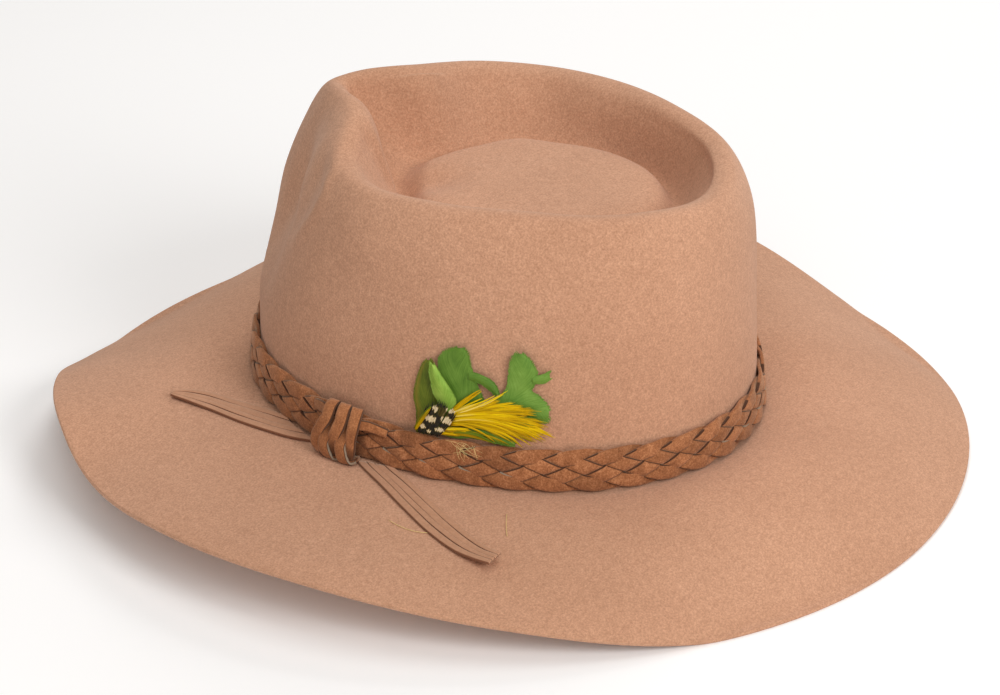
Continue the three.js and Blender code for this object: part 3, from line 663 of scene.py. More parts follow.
def weave_height(phase):
    """Over and under of a flat plait: cosines of ten half waves, and a half wave at each turn of the strand."""
    f = np.mod(phase, 1.0)
    h = np.where(f < 0.5, -np.cos(10 * np.pi * (f - 0.1)), -np.cos(10 * np.pi * (f - 0.6)))
    turn = (f < 0.1) | (f > 0.9)
    h = np.where(turn, -np.sin(5 * np.pi * np.where(f > 0.5, f - 1, f)), h)
    mid = (f > 0.4) & (f < 0.6)
    return np.where(mid, -np.sin(5 * np.pi * (f - 0.5)), h)


def thong_section(corner=0.14, crown=0.12):
    """Flat section with small round corners and a slightly domed face, as shares of the half sizes."""
    right = [(1 - corner * 0.4, -1), (1, -0.7), (1, 0.6), (1 - corner * 0.5, 0.92), (0.5, 1 + crown * 0.8)]
    left = [(-x, y) for x, y in right[::-1]]
    pts = [left[3], left[4], (0, -1)] + right + [(0, 1 + crown)] + left[:3]
    return np.array(pts)


def patch_tone(phase):
    """Tone of each patch of a strand that shows: the fraction of a large sine of the patch's number."""
    strand = np.arange(BRAID_STRANDS)[:, None]
    return np.mod(np.sin(np.floor(phase * 5) * 12.9898 + strand * 78.233) * 43758.5453, 1.0)


def build_braid():
    """Plait of five flat thongs: each runs from edge to edge of the band as a softened triangle wave.

    The strands are a fifth of a period apart, and go over and under by weave_height along the band's normal.
    Across a strand the height is sheared, so that it changes along the edges of the strands that cross it.
    """
    turn = KNOT_AT + np.linspace(0, 360, 1441)
    s = np.r_[0, np.cumsum(np.linalg.norm(np.diff(band_at(turn, 3.5, 8.0), axis=0), axis=1))]
    n = STRAND_STATIONS
    at = np.linspace(0, s[-1], n)
    strand = np.arange(BRAID_STRANDS)[:, None]
    phase = at[None] / s[-1] * BRAID_TURNS + BRAID_PHASE + strand / BRAID_STRANDS
    wide = np.interp(at, s, turn)[None] + 0 * phase
    arc, outs, ups = arc_table(BRAID_MIDDLE)
    half = (arc[-1] - STRAND_WIDE * 0.95) / 2
    wave = BRAID_PEAK / half * 2 / np.pi * np.arcsin(0.995 * np.sin(2 * np.pi * (phase - 0.25)))
    wave = wave / (1 + np.abs(wave) ** 6) ** (1 / 6)
    place = arc[-1] / 2 + half * wave
    out, up = np.interp(place, arc, outs), np.interp(place, arc, ups)
    no, nu = np.interp(place, arc, np.gradient(ups, arc)), -np.interp(place, arc, np.gradient(outs, arc))
    lean = BULGE * bell(wide, BULGE_AT, BULGE_SPAN) * np.minimum(1, up / 12)
    sag = 0.1 * np.sin(phase * 11.0 + 2.0)
    centre = settle(band_at(wide, out + lean + no * sag, up + nu * sag))
    nx, ny = outward(wide)
    across, normal = strand_frames(centre, unit(np.stack([nx * no, ny * no, nu], -1)) @ LEAN_TURN.T)
    half_wide = STRAND_WIDE / 2 * (1 + 0.05 * np.sin(phase * 17.0 + strand * 2))
    section = thong_section()
    v, quads, tris, uv = ribbon(centre, across, normal, half_wide, 0 * phase + STRAND_THICK / 2, section)
    x = section[:, 0] * np.sign(across[..., 2:3])
    climb = np.where(np.mod(phase, 1) < 0.5, 1, -1) * (1 - np.abs(wave) ** 8)
    height = weave_height(phase[..., None] + STRAND_SHEAR * climb[..., None] * x)
    over = np.tanh(STRAND_SNAP * height) / math.tanh(STRAND_SNAP)
    v = (v.reshape(*x.shape, 3) + normal[:, :, None] * (STRAND_RISE * over)[..., None]).reshape(-1, 3)
    rim = np.abs(wave[..., None])
    outer = (x * wave[..., None] > 0) * (rim > 0.75)
    late = (np.mod(phase, 1) > 0.88) * (np.mod(np.floor(phase), 3) != 1)
    fields = {
        # Less of the painted edge shade at the band's outer edges, where the strands turn.
        "side": np.abs(x) * np.where(outer, 0.85, 1),
        "tone": np.repeat(patch_tone(phase)[..., None], len(section), -1),
        # Painted shade where the strand dives under the others, none near the band's edges where it turns.
        "painted_shade": np.clip(-over - 0.3, 0, 0.7) * (1 - np.clip(rim, 0, 1) ** 6),
        "bare": late[..., None] * (x > 0.9) * (over > -0.6),
    }
    suede = suede_material("braid", **BRAID_SUEDE)
    make_piece("braid", (v, quads, tris, uv), suede, ["braid_band"], fields)


# Knot: outer section as distance out and height, from the top at the wall round to the brim
KNOT_RING = [
    (0.9, 18.9), (3, 20.1), (6, 19.5), (8.7, 16.7), (10.3, 12), (11.3, 7), (11.7, 3.4), (10.8, 1.3), (8.4, 1.0),
]
# Turns of the knot: place along the band and round the section in millimetres, layer, half width
KNOT_TURNS = [
    [(-5.4, 0.3, 0.2, 2.3), (-4.8, 3.2, 0.6, 2.4), (-4.2, 5.6, 0.8, 2.5), (-3.6, 9.8, 0.85, 2.5),
     (-5.8, 14.5, 0.85, 2.4), (-8, 19.5, 0.7, 2.2), (-7.8, 23.6, 0.45, 2), (-5, 26.6, 0.1, 2)],
    [(-0.4, 0.3, 0.3, 2.4), (1.2, 3.4, 0.7, 2.5), (2.4, 6.6, 0.85, 2.6), (3, 9.6, 0.9, 2.6),
     (2, 13.2, 0.75, 2.6), (0.2, 17.8, 0, 2.5), (-0.4, 21.5, -0.6, 2.4), (-1.5, 26, -0.8, 2.4)],
    [(4.6, 0.3, 0.2, 2.2), (6.6, 2.8, 0.6, 2.3), (8, 6.2, 0.85, 2.4), (8.5, 10.4, 0.9, 2.4),
     (8.3, 14.6, 0.75, 2.2), (8.2, 18.4, 0.1, 2), (7.8, 22, -0.5, 2), (7, 26, -0.8, 2)],
    [(0.5, 10, -0.9, 2.2), (-1.6, 13.5, -0.5, 2.3), (-3, 17, 0.15, 2.4), (-3.6, 20, 0.65, 2.4),
     (-2.6, 22.8, 0.8, 2.4), (-0.8, 25.2, 0.7, 2.4), (1.6, 27.4, 0.4, 2.3), (4, 29.4, 0, 2.2)],
    [(7.6, 9.6, -0.9, 2.2), (5.8, 13, -0.5, 2.3), (4.4, 16.2, 0.15, 2.4), (4.1, 19, 0.65, 2.4),
     (5, 22, 0.8, 2.4), (6.4, 24.8, 0.7, 2.3), (8, 27, 0.4, 2.2), (9.6, 29, 0, 2)],
    [(-9, 20, -0.6, 2), (-8, 22.5, -0.2, 2.1), (-6.6, 24.4, 0.3, 2.2), (-4.4, 26, 0.5, 2.2),
     (-2, 27.2, 0.4, 2.2), (0.4, 28.2, 0.2, 2.1), (2.6, 29, 0, 2), (5, 29.6, -0.2, 2)],
]
# Turns with a bare cut edge
KNOT_BARE = [0, 0, 0, 1, 1, 0]
# Straps of the knot on the band: place along the band in millimetres, distance out, height, half width
KNOT_STRAPS = [
    [(-15, 3.3, 15.4, 1.9), (-12, 4.1, 16.2, 2), (-9, 5, 16.6, 2.1), (-6, 6.1, 16.8, 2.2), (-3, 7, 16.6, 2.2)],
    [(5, 7.3, 15.6, 1.9), (9, 5.9, 15.9, 1.9), (12.5, 4.7, 15.9, 1.9), (16, 3.9, 15.3, 1.8),
     (20, 3.2, 14.4, 1.7)],
]
KNOT_MIDDLE = (4.5, 9.5)
STRAP_NORMAL = (0.98, 0.2)


def knot_skin(path):
    """Distance out, height and normal of the turns: the ring's section, drawn in a little at both ends."""
    arc, outs, ups = arc_table(KNOT_RING)
    mid_out, mid_up = KNOT_MIDDLE
    place = np.clip(path[..., 1], 0, arc[-1])
    no, nu = -np.interp(place, arc, np.gradient(ups, arc)), np.interp(place, arc, np.gradient(outs, arc))
    end = 1 - 0.14 * np.clip((np.abs(path[..., 0] - 0.6) - 5.5) / 4, 0, 1.2)
    rise = path[..., 2] * 0.85 - 0.6
    out = mid_out + (np.interp(place, arc, outs) - mid_out) * end + no * rise
    up = mid_up + (np.interp(place, arc, ups) - mid_up) * end + nu * rise
    return out, up, no, nu


def knot_strips(paths, bare, hugging):
    """Shape and fields of flat strips over the knot's skin, or of straps that lie on the band."""
    path = smooth_rows(np.array(paths, float).transpose(1, 0, 2), 8).transpose(1, 0, 2)
    mid = band_at(np.array([KNOT_AT - 0.5, KNOT_AT + 0.5]), 6.0, 8.0)
    deg = KNOT_AT + path[..., 0] / np.linalg.norm(mid[1] - mid[0])
    if hugging:
        out, up, no, nu = knot_skin(path)
        level = path[..., 2]
    else:
        out, up = path[..., 1], path[..., 2]
        no, nu = 0 * out + STRAP_NORMAL[0], 0 * out + STRAP_NORMAL[1]
        level = 0 * deg + 0.6
    centre = settle(band_at(deg, out, np.maximum(up, 0.9)))
    nx, ny = outward(deg)
    across, normal = strand_frames(centre, unit(np.stack([nx * no, ny * no, nu], -1)) @ LEAN_TURN.T)
    section = thong_section()
    strips = ribbon(centre, across, normal, path[..., 3], 0 * deg + STRIP_HALF, section)
    zero = np.zeros(deg.shape + (len(section),))
    side = zero + section[:, 0]
    cut = np.array(bare)[:, None, None] * (level > 0.2)[..., None]
    tone = 0.3 + 0.55 * RNG.random(len(paths))
    fields = {
        "side": np.abs(side),
        "tone": zero + tone[:, None, None],
        # Painted shade on the lower layers of turns, under the ones above.
        "painted_shade": zero + np.clip(0.25 - level, 0, 0.85)[..., None],
        "bare": cut * (np.abs(side) > 0.99) * (side * np.sign(across[..., 1:2]) > 0),
    }
    return strips, fields


def build_knot():
    """Knot of flat thongs over the band: smooth curves over its skin, raised or sunk by their layers."""
    turns, turn_fields = knot_strips(KNOT_TURNS, KNOT_BARE, True)
    straps, strap_fields = knot_strips(KNOT_STRAPS, [0] * len(KNOT_STRAPS), False)
    fields = {key: np.r_[turn_fields[key].ravel(), strap_fields[key].ravel()] for key in turn_fields}
    suede = suede_material("knot", **KNOT_SUEDE)
    make_piece("knot", join_shapes([turns, straps]), suede, ["band_knot"], fields)


# Tails: angle and distance out for the longer and the shorter edge, and the rise over the brim
FRONT_TAIL = [
    (68.6, 6.5, 54.4, 3.6, 0), (63.6, 11.3, 49.6, 7.1, 0), (57.7, 15.4, 45.4, 11.9, 0),
    (51.8, 20, 42, 16.6, 0), (45.7, 25.2, 38.4, 22.7, 0), (41.2, 31.4, 36.6, 29.8, 0.3),
    (37.7, 38, 36.7, 36.2, 0.8),
]
REAR_TAIL = [
    (82, 7, 90.1, 3, 0), (91.6, 16.7, 97.6, 10.5, 0), (99.4, 27.7, 104.1, 19.9, 0),
    (106.1, 39.1, 109.3, 29.3, 0), (111.3, 48.1, 113.8, 38.9, 0.6), (114.6, 53, 116.5, 45.5, 1.8),
    (117.5, 56.9, 119, 50.2, 3.4),
]
# Shares of the bundle's width at which one thong ends and the next begins
THONG_SPLITS = [0, 0.27, 0.48, 0.77, 1]
THONG_TRIM, THONG_RAISED, THONG_HALF = 0.05, 0.95, 0.5


def build_tail(name, table, nodes, suede):
    """Four flat thongs side by side: each keeps its shares of the way between the bundle's two edges.

    Their faces are gently domed and a ripple of a tenth of a millimetre runs along them.
    """
    fine = smooth_rows(table, 12)
    n = len(fine)
    section = thong_section(0.1, 0.1)
    edges = brim_out(fine[:, 0], fine[:, 1]) - brim_out(fine[:, 2], fine[:, 3])
    trim = (THONG_TRIM / np.linalg.norm(edges, axis=-1))[:, None]
    for i, node in enumerate(nodes):
        low, high = THONG_SPLITS[i] + trim, THONG_SPLITS[i + 1] - trim
        share = low + (high - low) * (section[:, 0] + 1)[None] / 2
        deg = fine[:, 0:1] + (fine[:, 2:3] - fine[:, 0:1]) * share
        out = fine[:, 1:2] + (fine[:, 3:4] - fine[:, 1:2]) * share
        p = brim_out(deg, out)
        ripple = 0.1 * np.sin(np.linspace(0, 9, n) + i * 2.4)[:, None] + 0.16 * np.sin(i * 2.0)
        p[..., 2] += THONG_RAISED + fine[:, 4:5] + ripple + section[:, 1][None] * THONG_HALF
        v = settle(p).reshape(-1, 3)
        zero = np.zeros((n, len(section)))
        tone = 0.4 + 0.25 * RNG.random()
        fields = {"side": zero + np.abs(section[:, 0]), "tone": zero + tone, "painted_shade": zero, "bare": zero}
        thong = (v, *tube_faces(v, n, len(section)), tube_uv(section[:, 0], n))
        make_piece(f"{name}_{i + 1}", thong, suede, [node], fields)


def build_tails():
    """The four thongs towards the front and the four that go out over the brim, flesh side up."""
    suede = suede_material("thong", **THONG_SUEDE)
    for name, table in (("front_tail", FRONT_TAIL), ("rear_tail", REAR_TAIL)):
        build_tail(name, table, [f"{name}_thong_{i}" for i in range(1, 5)], suede)


# Feather vanes: angle and height of both sides, and the lift off the wall
LEFT_VANE = [
    (95.8, 41.6, 97, 41.6, 0.5), (95.8, 46, 99.4, 45.5, 0.5), (95.8, 51.5, 101.4, 52, 0.6),
    (95.2, 57.5, 100.8, 60, 0.8), (95.9, 64, 100.4, 66, 1), (97, 69.4, 100, 70.6, 1.1),
    (98.2, 72, 99.2, 72.2, 1.1),
]
TALL_VANE = [
    (97.2, 41.6, 98.6, 41.6, 0.5), (98.5, 46.8, 102, 46, 0.5), (100.6, 53.6, 107.8, 52.4, 0.6),
    (101.6, 60, 112.6, 57.6, 0.8), (101.4, 67.5, 110.8, 65.8, 1), (101.5, 73.6, 109.5, 71.8, 1.2),
    (103.2, 77, 108.8, 76.4, 1.4), (105.8, 78.8, 107.6, 79, 1.4),
]
HOOK_BARB = [
    (108.8, 66.6, 108.8, 70.4, 1.1), (111.2, 66.4, 111.9, 69.4, 1.2), (113.1, 64.8, 114.2, 67.8, 1.3),
    (114.4, 63.4, 115.6, 65.2, 1.3), (115.3, 62, 116.1, 62.6, 1.2),
]
RIGHT_STEM = [
    (101.6, 46.6, 102.4, 45.4, 0.5), (104.4, 48.4, 105.4, 46.6, 0.5), (109.6, 50.8, 110.8, 48.8, 0.6),
    (113.6, 56.4, 115.6, 53.4, 0.7), (117, 61.6, 121, 57.4, 0.9),
]
RIGHT_UPPER = [
    (115.4, 59, 119.6, 57.4, 0.8), (117.7, 64.6, 123.2, 63.6, 1), (118.3, 70.6, 125, 69.6, 1.3),
    (119, 76, 123.8, 75.6, 1.6), (120.3, 79, 121.7, 78.9, 1.7),
]
RIGHT_LOWER = [
    (115.2, 59.8, 115.8, 53.6, 0.8), (118.6, 63, 119.4, 55.8, 0.9), (122, 64.8, 122.4, 54, 1.1),
    (124.8, 62.8, 124.9, 52, 1.3), (126.6, 59.8, 126.6, 51.8, 1.5), (127.5, 56.8, 127.4, 53.6, 1.6),
]
RIGHT_BARB = [(123.6, 70, 123.8, 67.2, 1.3), (126, 70.8, 126.2, 67.4, 1.5), (127.6, 72, 127.8, 69, 1.7)]
CURL_VANE = [
    (102.8, 54.6, 105.4, 54, 2), (102.2, 56.6, 106, 56, 2.2), (100.8, 60.4, 106.2, 59, 2.7),
    (100.2, 64.8, 105, 63, 3), (99.7, 69, 102.8, 67.6, 3), (99.9, 72, 100.8, 71.8, 2.9),
]
LOW_LEAF = [
    (103, 43.6, 103.4, 45.4, 1.6), (106.5, 43.6, 107, 47.8, 2.1), (110, 44.4, 110.4, 50, 2.4),
    (113.5, 44, 114, 49.6, 2.6), (117, 43, 117.4, 47.6, 2.7), (119.8, 42.6, 120, 44, 2.7),
]
# Millimetres along the wall for each degree, as high up as the feathers are
WALL_MM = 1.55
VANE_POINTS, VANE_THICK, VANE_FRAY = 13, 0.3, 0.125
BROWN_RIM = (0.27, 0.2, 0.02)
BARB_SECTION = np.array([(-1, 0), (-0.5, 0.8), (0.5, 0.8), (1, 0), (0.5, -0.8), (-0.5, -0.8)])


def vane_skins(table, camber, seed):
    """Vane as two skins: across it the middle bows out by a parabola, and random shares fray its edges."""
    fine = smooth_rows(table, 12)
    n = len(fine)
    x = np.linspace(-1, 1, VANE_POINTS)
    jag = VANE_FRAY * (np.random.default_rng(seed).random((n, 2)) - 0.5)
    grow = 1 + np.where(x < 0, jag[:, :1], jag[:, 1:]) * np.abs(x) ** 3
    share = (x * grow + 1) / 2
    deg = fine[:, 0:1] * (1 - share) + fine[:, 2:3] * share
    z = fine[:, 1:2] * (1 - share) + fine[:, 3:4] * share
    lift = fine[:, 4:5] + camber * (1 - x ** 2)
    front = settle(wall_at(deg, z, lift + VANE_THICK))
    back = settle(wall_at(deg, z, lift))
    v = np.concatenate([front, back[:, ::-1]], 1).reshape(-1, 3)
    return (v, *tube_faces(v, n, 2 * VANE_POINTS), tube_uv(np.r_[x, x[::-1]], n))


def wall_strands(roots, tips, bend, root_wide, tip_wide, lift_root, lift_tip, n):
    """Flat tapered strands on the wall: straight in angle and height, and bowed sideways by a parabola."""
    t = np.linspace(0, 1, n)[None]
    deg, z = (roots[:, k:k + 1] * (1 - t) + tips[:, k:k + 1] * t for k in (0, 1))
    dx, dz = (tips[:, 0] - roots[:, 0]) * WALL_MM, tips[:, 1] - roots[:, 1]
    length = np.hypot(dx, dz)
    bow = (bend * length)[:, None] * t * (1 - t) * 4
    deg = deg + (-dz / length)[:, None] * bow / WALL_MM
    z = z + (dx / length)[:, None] * bow
    centre = settle(wall_at(deg, z, lift_root[:, None] * (1 - t) + lift_tip[:, None] * t))
    nx, ny = outward(deg)
    across, normal = strand_frames(centre, np.stack([nx, ny, 0 * nx], -1) @ LEAN_TURN.T)
    taper = np.interp(t[0], [0, 0.15, 0.5, 0.85, 1], [0.6, 0.9, 1, 0.7, 0.12])
    half_wide = (root_wide[:, None] * (1 - t) + tip_wide[:, None] * t) * taper / 2
    return ribbon(centre, across, normal, half_wide, np.maximum(half_wide * 0.28, 0.05), BARB_SECTION)


def vane_fringe(table, seed):
    """Loose barbs along a vane's two edges: short strands that lean out and forward."""
    fine = smooth_rows(table, 24)
    n = 2 * len(fine)
    rng = np.random.default_rng(seed)
    scale = np.array([WALL_MM, 1.0])
    sides = [fine[:, :2] * scale, fine[:, 2:4] * scale]
    forward = unit(np.gradient(sides[0] + sides[1], axis=0))
    roots, tips = [], []
    for here, there in (sides, sides[::-1]):
        out = unit(here - there)
        reach = 0.05 + 0.3 * rng.random((len(fine), 1))
        roots.append(here - out * 0.7 - forward * 0.8)
        tips.append(here + out * reach + forward * (0.5 + 0.8 * rng.random((len(fine), 1))))
    roots, tips = np.concatenate(roots) / scale, np.concatenate(tips) / scale
    lift = np.tile(fine[:, 4] + 0.35, 2)
    bend = rng.normal(size=n) * 0.08
    return wall_strands(roots, tips, bend, np.full(n, 0.32), np.full(n, 0.26), lift, lift, 6)


def build_vanes():
    """The four green feathers on the wall."""
    dark = vane_material("vane_dark", (0.045, 0.07, 0.004), (0.11, 0.155, 0.008), (0.2, 0.24, 0.02), BROWN_RIM)
    mid = vane_material("vane_mid", (0.05, 0.13, 0.008), (0.112, 0.23, 0.022), (0.18, 0.33, 0.045))
    blue = vane_material("vane_blue", (0.075, 0.18, 0.018), (0.14, 0.285, 0.034), (0.24, 0.4, 0.07))
    light = vane_material("vane_light", (0.14, 0.28, 0.02), (0.25, 0.42, 0.05), (0.4, 0.58, 0.1))
    right = [RIGHT_STEM, RIGHT_UPPER, RIGHT_LOWER, RIGHT_BARB]
    for name, tables, material, slot, camber in (
        ("vane_left", [LEFT_VANE], dark, "feather_dark_green", 0.4),
        ("vane_tall", [TALL_VANE, HOOK_BARB, LOW_LEAF], mid, "feather_green", 0.5),
        ("vane_right", right, blue, "feather_blue_green", 0.5),
        ("vane_curl", [CURL_VANE], light, "feather_light_green", 0.9),
    ):
        seeds = [len(name) + i for i in range(len(tables))]
        skins = [vane_skins(table, camber, seed) for table, seed in zip(tables, seeds)]
        fringes = [vane_fringe(table, seed) for table, seed in zip(tables, seeds)]
        make_piece(name, join_shapes(skins + fringes), material, [f"green_{name}"])


# Yellow hackle: root angle and height, tip angle and height, spread, strands, bow, tone of the lock
HACKLE_LOCKS = [
    (104.3, 52.8, 112.4, 64.6, 0.5, 16, 0.04, 0.42), (105.6, 54, 115.6, 63.4, 0.4, 4, 0, 0.97),
    (107, 54.8, 119.6, 66.2, 0.5, 4, -0.03, 0.9), (105.4, 53.8, 117, 61, 0.6, 12, 0.02, 0.62),
    (105.2, 53.4, 119.6, 60.2, 0.7, 20, 0.02, 0.56), (105.2, 53, 122, 59, 0.7, 22, 0.03, 0.68),
    (105.2, 52.6, 124.4, 58, 0.8, 22, 0.04, 0.52), (105.2, 52.2, 125.8, 56, 0.8, 22, 0.05, 0.6),
    (105.2, 51.8, 127, 53, 0.8, 20, 0.07, 0.44), (105.2, 51.4, 127.8, 50.4, 0.8, 20, 0.1, 0.56),
    (105.2, 51, 128.6, 47.2, 0.5, 26, 0.12, 0.76), (105.2, 50.6, 127, 45.2, 0.6, 20, 0.12, 0.6),
    (105.2, 50.2, 124.6, 44, 0.7, 18, 0.12, 0.54), (105, 49.8, 122, 43, 0.7, 14, 0.13, 0.48),
    (112, 49.6, 120.2, 43.4, 0.5, 8, 0.05, 0.08), (102.6, 46.8, 109.8, 48, 0.5, 16, 0.02, 0.7),
    (101.8, 45.4, 107.8, 45.6, 0.4, 12, 0.02, 0.6), (97.2, 46.4, 101.2, 57.9, 0.2, 7, 0.02, 0.4),
    (104, 45.6, 117, 44.6, 0.6, 12, 0.08, 0.1), (106, 46, 119.2, 43.4, 0.5, 10, 0.1, 0.16),
]
HACKLE_TONES = [
    (0.0, (0.13, 0.19, 0.01)), (0.2, (0.42, 0.26, 0.001)), (0.45, (0.66, 0.4, 0.001)),
    (0.75, (0.86, 0.62, 0.002)), (1.0, (0.88, 0.82, 0.42)),
]
# Lift of the locks, and of the one that lies over the tuft
HACKLE_LIFT, OVER_TUFT = 3.5, 5.9
HACKLE_STATIONS = 12


def build_hackle():
    """Yellow hackle: strands from one head fan out to the tips of the locks and turn more orange there."""
    roots, tips, lifts, bends, tones = [], [], [], [], []
    for a0, z0, a1, z1, spread, count, bow, tone in HACKLE_LOCKS:
        r = RNG.normal(size=(count, 6))
        short = 1 - 0.16 * np.abs(r[:, 4])
        roots.append(np.stack([a0 + 0.2 * r[:, 0], z0 + 0.35 * r[:, 1]], -1))
        tip = [a0 + (a1 - a0) * short + spread * 0.5 * r[:, 2], z0 + (z1 - z0) * short + spread * r[:, 3]]
        tips.append(np.stack(tip, -1))
        lifts.append((OVER_TUFT if a0 < 98 else HACKLE_LIFT) + 0.25 * r[:, 4])
        bends.append(bow + 0.012 * r[:, 5])
        tones.append(np.minimum(tone + 0.16 * r[:, 0], max(tone, 0.8)))
    roots, tips, lifts, bends, tones = (np.concatenate(part) for part in (roots, tips, lifts, bends, tones))
    n = len(roots)
    root_wide = 0.6 + 0.3 * RNG.random(n)
    tip_wide = 0.6 + 0.5 * RNG.random(n)
    low = lifts - 0.2 * RNG.random(n)
    locks = wall_strands(roots, tips, bends, root_wide, tip_wide, low, lifts, HACKLE_STATIONS)
    fall = np.repeat(np.linspace(0, 1, HACKLE_STATIONS) ** 3 * 0.22, len(BARB_SECTION))
    tone = np.clip(np.clip(tones, 0, 1)[:, None] - fall, 0, 1)
    material = tone_material("hackle", HACKLE_TONES, 0.6)
    make_piece("hackle", locks, material, ["yellow_hackle"], {"tone": tone})


# Pale spots of the tuft: angle, height, half width in degrees, half height in millimetres
TUFT_SPOTS = [
    (101.7, 56, 0.7, 1.6), (105.5, 56.1, 1.3, 1.3), (100.6, 51.5, 1.25, 1.5), (104.2, 51.8, 1.25, 1.6),
    (98.6, 47.8, 0.7, 1.1), (102.6, 47.6, 1.2, 1), (100, 46.2, 0.6, 0.7),
]
TUFT_TONES = [
    (0.0, (0.012, 0.014, 0.02)), (0.45, (0.075, 0.06, 0.012)), (0.7, (0.6, 0.45, 0.22)), (1.0, (0.84, 0.74, 0.5)),
]
TUFT_STRANDS, TUFT_STATIONS = 56, 18


def build_tuft():
    """Spotted tuft: short strands side by side, dark with pale spots where they cross the charted ovals."""
    count, one = TUFT_STRANDS, np.ones(TUFT_STRANDS)
    f = np.linspace(-1, 1, count)
    roots = np.stack([100 + 2.5 * f + 0.15 * RNG.normal(size=count), 45 + 0.3 * RNG.normal(size=count)], -1)
    tip_deg = 103 + 3.7 * f + 0.15 * RNG.normal(size=count)
    tips = np.stack([tip_deg, 58 - 2.6 * np.abs(f) ** 2 + 0.9 * RNG.normal(size=count)], -1)
    bend = 0.02 * RNG.normal(size=count)
    low, high = 4.8 + 0.3 * RNG.random(count), 5.0 + 0.5 * RNG.random(count)
    strands = wall_strands(roots, tips, bend, 0.5 * one, 0.75 * one, low, high, TUFT_STATIONS)
    t = np.linspace(0, 1, TUFT_STATIONS)[None]
    deg, z = (roots[:, k:k + 1] * (1 - t) + tips[:, k:k + 1] * t for k in (0, 1))
    tone = 0.12 + 0.3 * (z > 53) * (z < 57) * (deg > 102.4) * (deg < 104.6)
    for middle, height, half_deg, half_z in TUFT_SPOTS:
        inside = ((deg - middle) / half_deg) ** 2 + ((z - height) / half_z) ** 2 < 1
        tone = np.where(inside, 0.9, tone)
    tone = np.clip(tone + 0.04 * RNG.normal(size=tone.shape), 0, 1)
    fields = {"tone": np.repeat(tone[..., None], len(BARB_SECTION), -1)}
    make_piece("tuft", strands, tone_material("tuft", TUFT_TONES), ["spotted_tuft"], fields)


# Loose hairs on the brim: angle and distance out at both ends and at the middle
BRIM_HAIRS = [(98.4, 36.1, 103, 41, 106.3, 38.6), (118.9, 20.2, 119, 28, 119.5, 34.5)]
# Fluff on the braid: angle and height of both ends, as on the wall
FLUFF = [
    (105.4, 42.4, 110.5, 39.6), (106.4, 42.6, 108.6, 37.4), (107.4, 42.8, 111.6, 40.4),
    (108.4, 42.6, 108, 36.2), (109.2, 41.6, 106.6, 38.4), (110.2, 42, 110.4, 37.6), (106, 39.6, 110.6, 41),
]
HAIR_HALF, FLUFF_WIDE, HAIR_RAISED = 0.13, 0.14, 0.35
HAIR_TONES = [(0.0, (0.6, 0.42, 0.1)), (0.5, (0.8, 0.6, 0.24)), (1.0, (0.9, 0.8, 0.5))]


def build_hairs():
    """Stray pale hairs: parabolas through three points on the brim, and curls over the braid."""
    rows = np.array(BRIM_HAIRS, float).reshape(-1, 3, 2)
    t = np.linspace(0, 1, 24)[None, :, None]
    path = rows[:, :1] * (1 - t) ** 2 + rows[:, 1:2] * 2 * t * (1 - t) + rows[:, 2:] * t * t
    centre = settle(brim_out(path[..., 0], path[..., 1]))
    centre[..., 2] += HAIR_RAISED
    across, normal = strand_frames(centre, np.broadcast_to([0.0, 0.0, 1.0], centre.shape))
    thin = np.full(centre.shape[:2], HAIR_HALF)
    hairs = ribbon(centre, across, normal, thin, thin, np.array([(-1, 0), (0, 1), (1, 0), (0, -1)]))
    ends = np.repeat(np.array(FLUFF), 2, 0) + RNG.normal(size=(2 * len(FLUFF), 4)) * 0.9
    one = np.ones(len(ends))
    bend = 0.14 * RNG.normal(size=len(ends))
    wide = FLUFF_WIDE * one
    fluff = wall_strands(ends[:, :2], ends[:, 2:], bend, wide, wide, 4.6 * one, 5.2 * one, 14)
    shape = join_shapes([hairs, fluff])
    tone = np.full(len(shape[0]), 0.55)
    make_piece("hairs", shape, tone_material("hair", HAIR_TONES), [], {"tone": tone})


FLOOR_HALF = 6.0
WORLD_COLOUR, WORLD_STRENGTH = (1, 0.93, 0.86, 1), 0.25
LAMP_AIM = (0, 0, 0.06)
# Lamps: name, place in metres, width in metres and power in watts
LAMPS = [
    ("key", (0.6, 1.5, 1.1), 0.8, 17.5),
    ("top", (0.0, 0.0, 1.8), 1.2, 7.4),
    ("back", (-1.3, -0.2, 1.2), 0.8, 9.0),
    ("fill", (1.3, 0.4, 1.3), 1.0, 7.0),
]


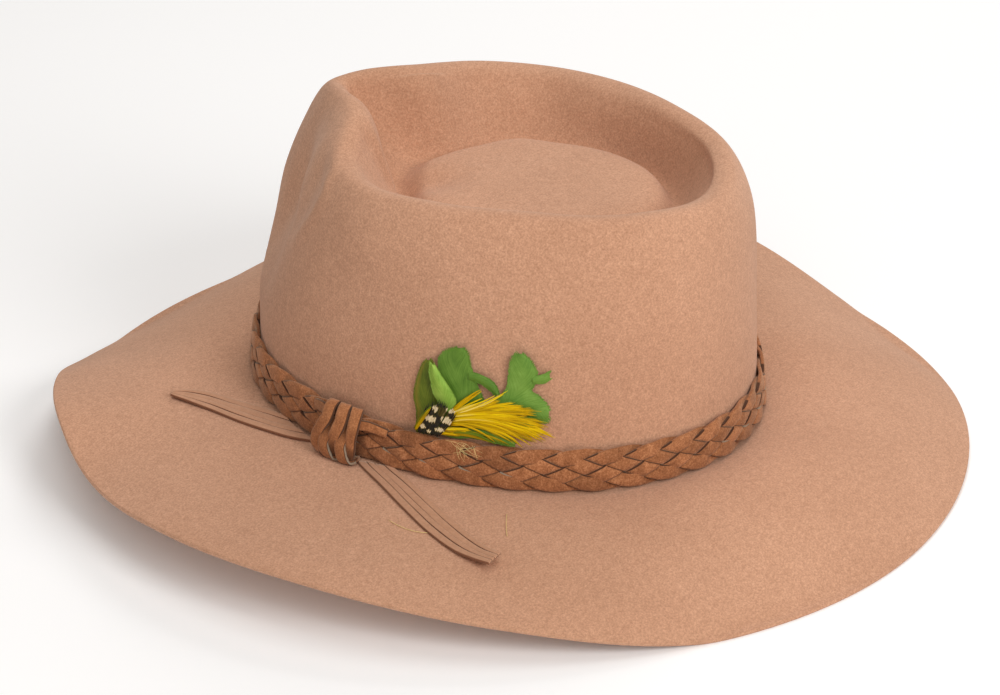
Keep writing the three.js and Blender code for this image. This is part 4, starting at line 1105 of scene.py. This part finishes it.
def build_floor():
    """Plain pale floor, one square that glows a little."""
    h = FLOOR_HALF
    mesh = bpy.data.meshes.new("floor")
    mesh.from_pydata([(-h, -h, 0), (h, -h, 0), (h, h, 0), (-h, h, 0)], [], [(0, 1, 2, 3)])
    mesh.update()
    paper = Finish("floor", (0.97, 0.97, 0.97), 0.9)
    paper.shader["Emission Color"].default_value = (1, 1, 1, 1)
    paper.shader["Emission Strength"].default_value = 0.06
    mesh.materials.append(paper.material)
    floor = bpy.data.objects.new("floor", mesh)
    bpy.context.scene.collection.objects.link(floor)


def build_light():
    """Soft lights: a key from the right of the picture, one above, one behind, a fill, and a dim world."""
    world = bpy.data.worlds.new("studio")
    bpy.context.scene.world = world
    world.use_nodes = True
    sky = world.node_tree.nodes["Background"].inputs
    sky[0].default_value = WORLD_COLOUR
    sky[1].default_value = WORLD_STRENGTH
    for name, at, wide, power in LAMPS:
        light = bpy.data.lights.new(name, "AREA")
        light.energy = power
        light.size = wide
        lamp = bpy.data.objects.new(name, light)
        bpy.context.scene.collection.objects.link(lamp)
        lamp.location = at
        lamp.rotation_euler = (Vector(LAMP_AIM) - Vector(at)).to_track_quat("-Z", "Y").to_euler()
    bpy.context.scene.view_settings.view_transform = "Standard"


def build_camera():
    """Camera at the photo's place: back along the view line, turned by azimuth, elevation and roll."""
    c, s = cos_sin(CAM_TURN)
    ce, se = cos_sin(CAM_UP)
    back = Vector((s * ce, -c * ce, se))
    right = Vector((c, s, 0))
    up = back.cross(right)
    cr, sr = cos_sin(CAM_ROLL)
    right, up = right * float(cr) + up * float(sr), up * float(cr) - right * float(sr)
    data = bpy.data.cameras.new("camera")
    data.lens = LENS_MM
    data.sensor_width = 36
    data.clip_end = 30
    camera = bpy.data.objects.new("camera", data)
    bpy.context.scene.collection.objects.link(camera)
    turn = Matrix((right, up, back)).transposed().to_4x4()
    camera.matrix_world = Matrix.Translation(Vector(CAM_AT) * 0.001) @ turn
    bpy.context.scene.camera = camera


build_floor()
build_light()
build_camera()
build_felt()
build_braid()
build_knot()
build_tails()
build_vanes()
build_hackle()
build_tuft()
build_hairs()
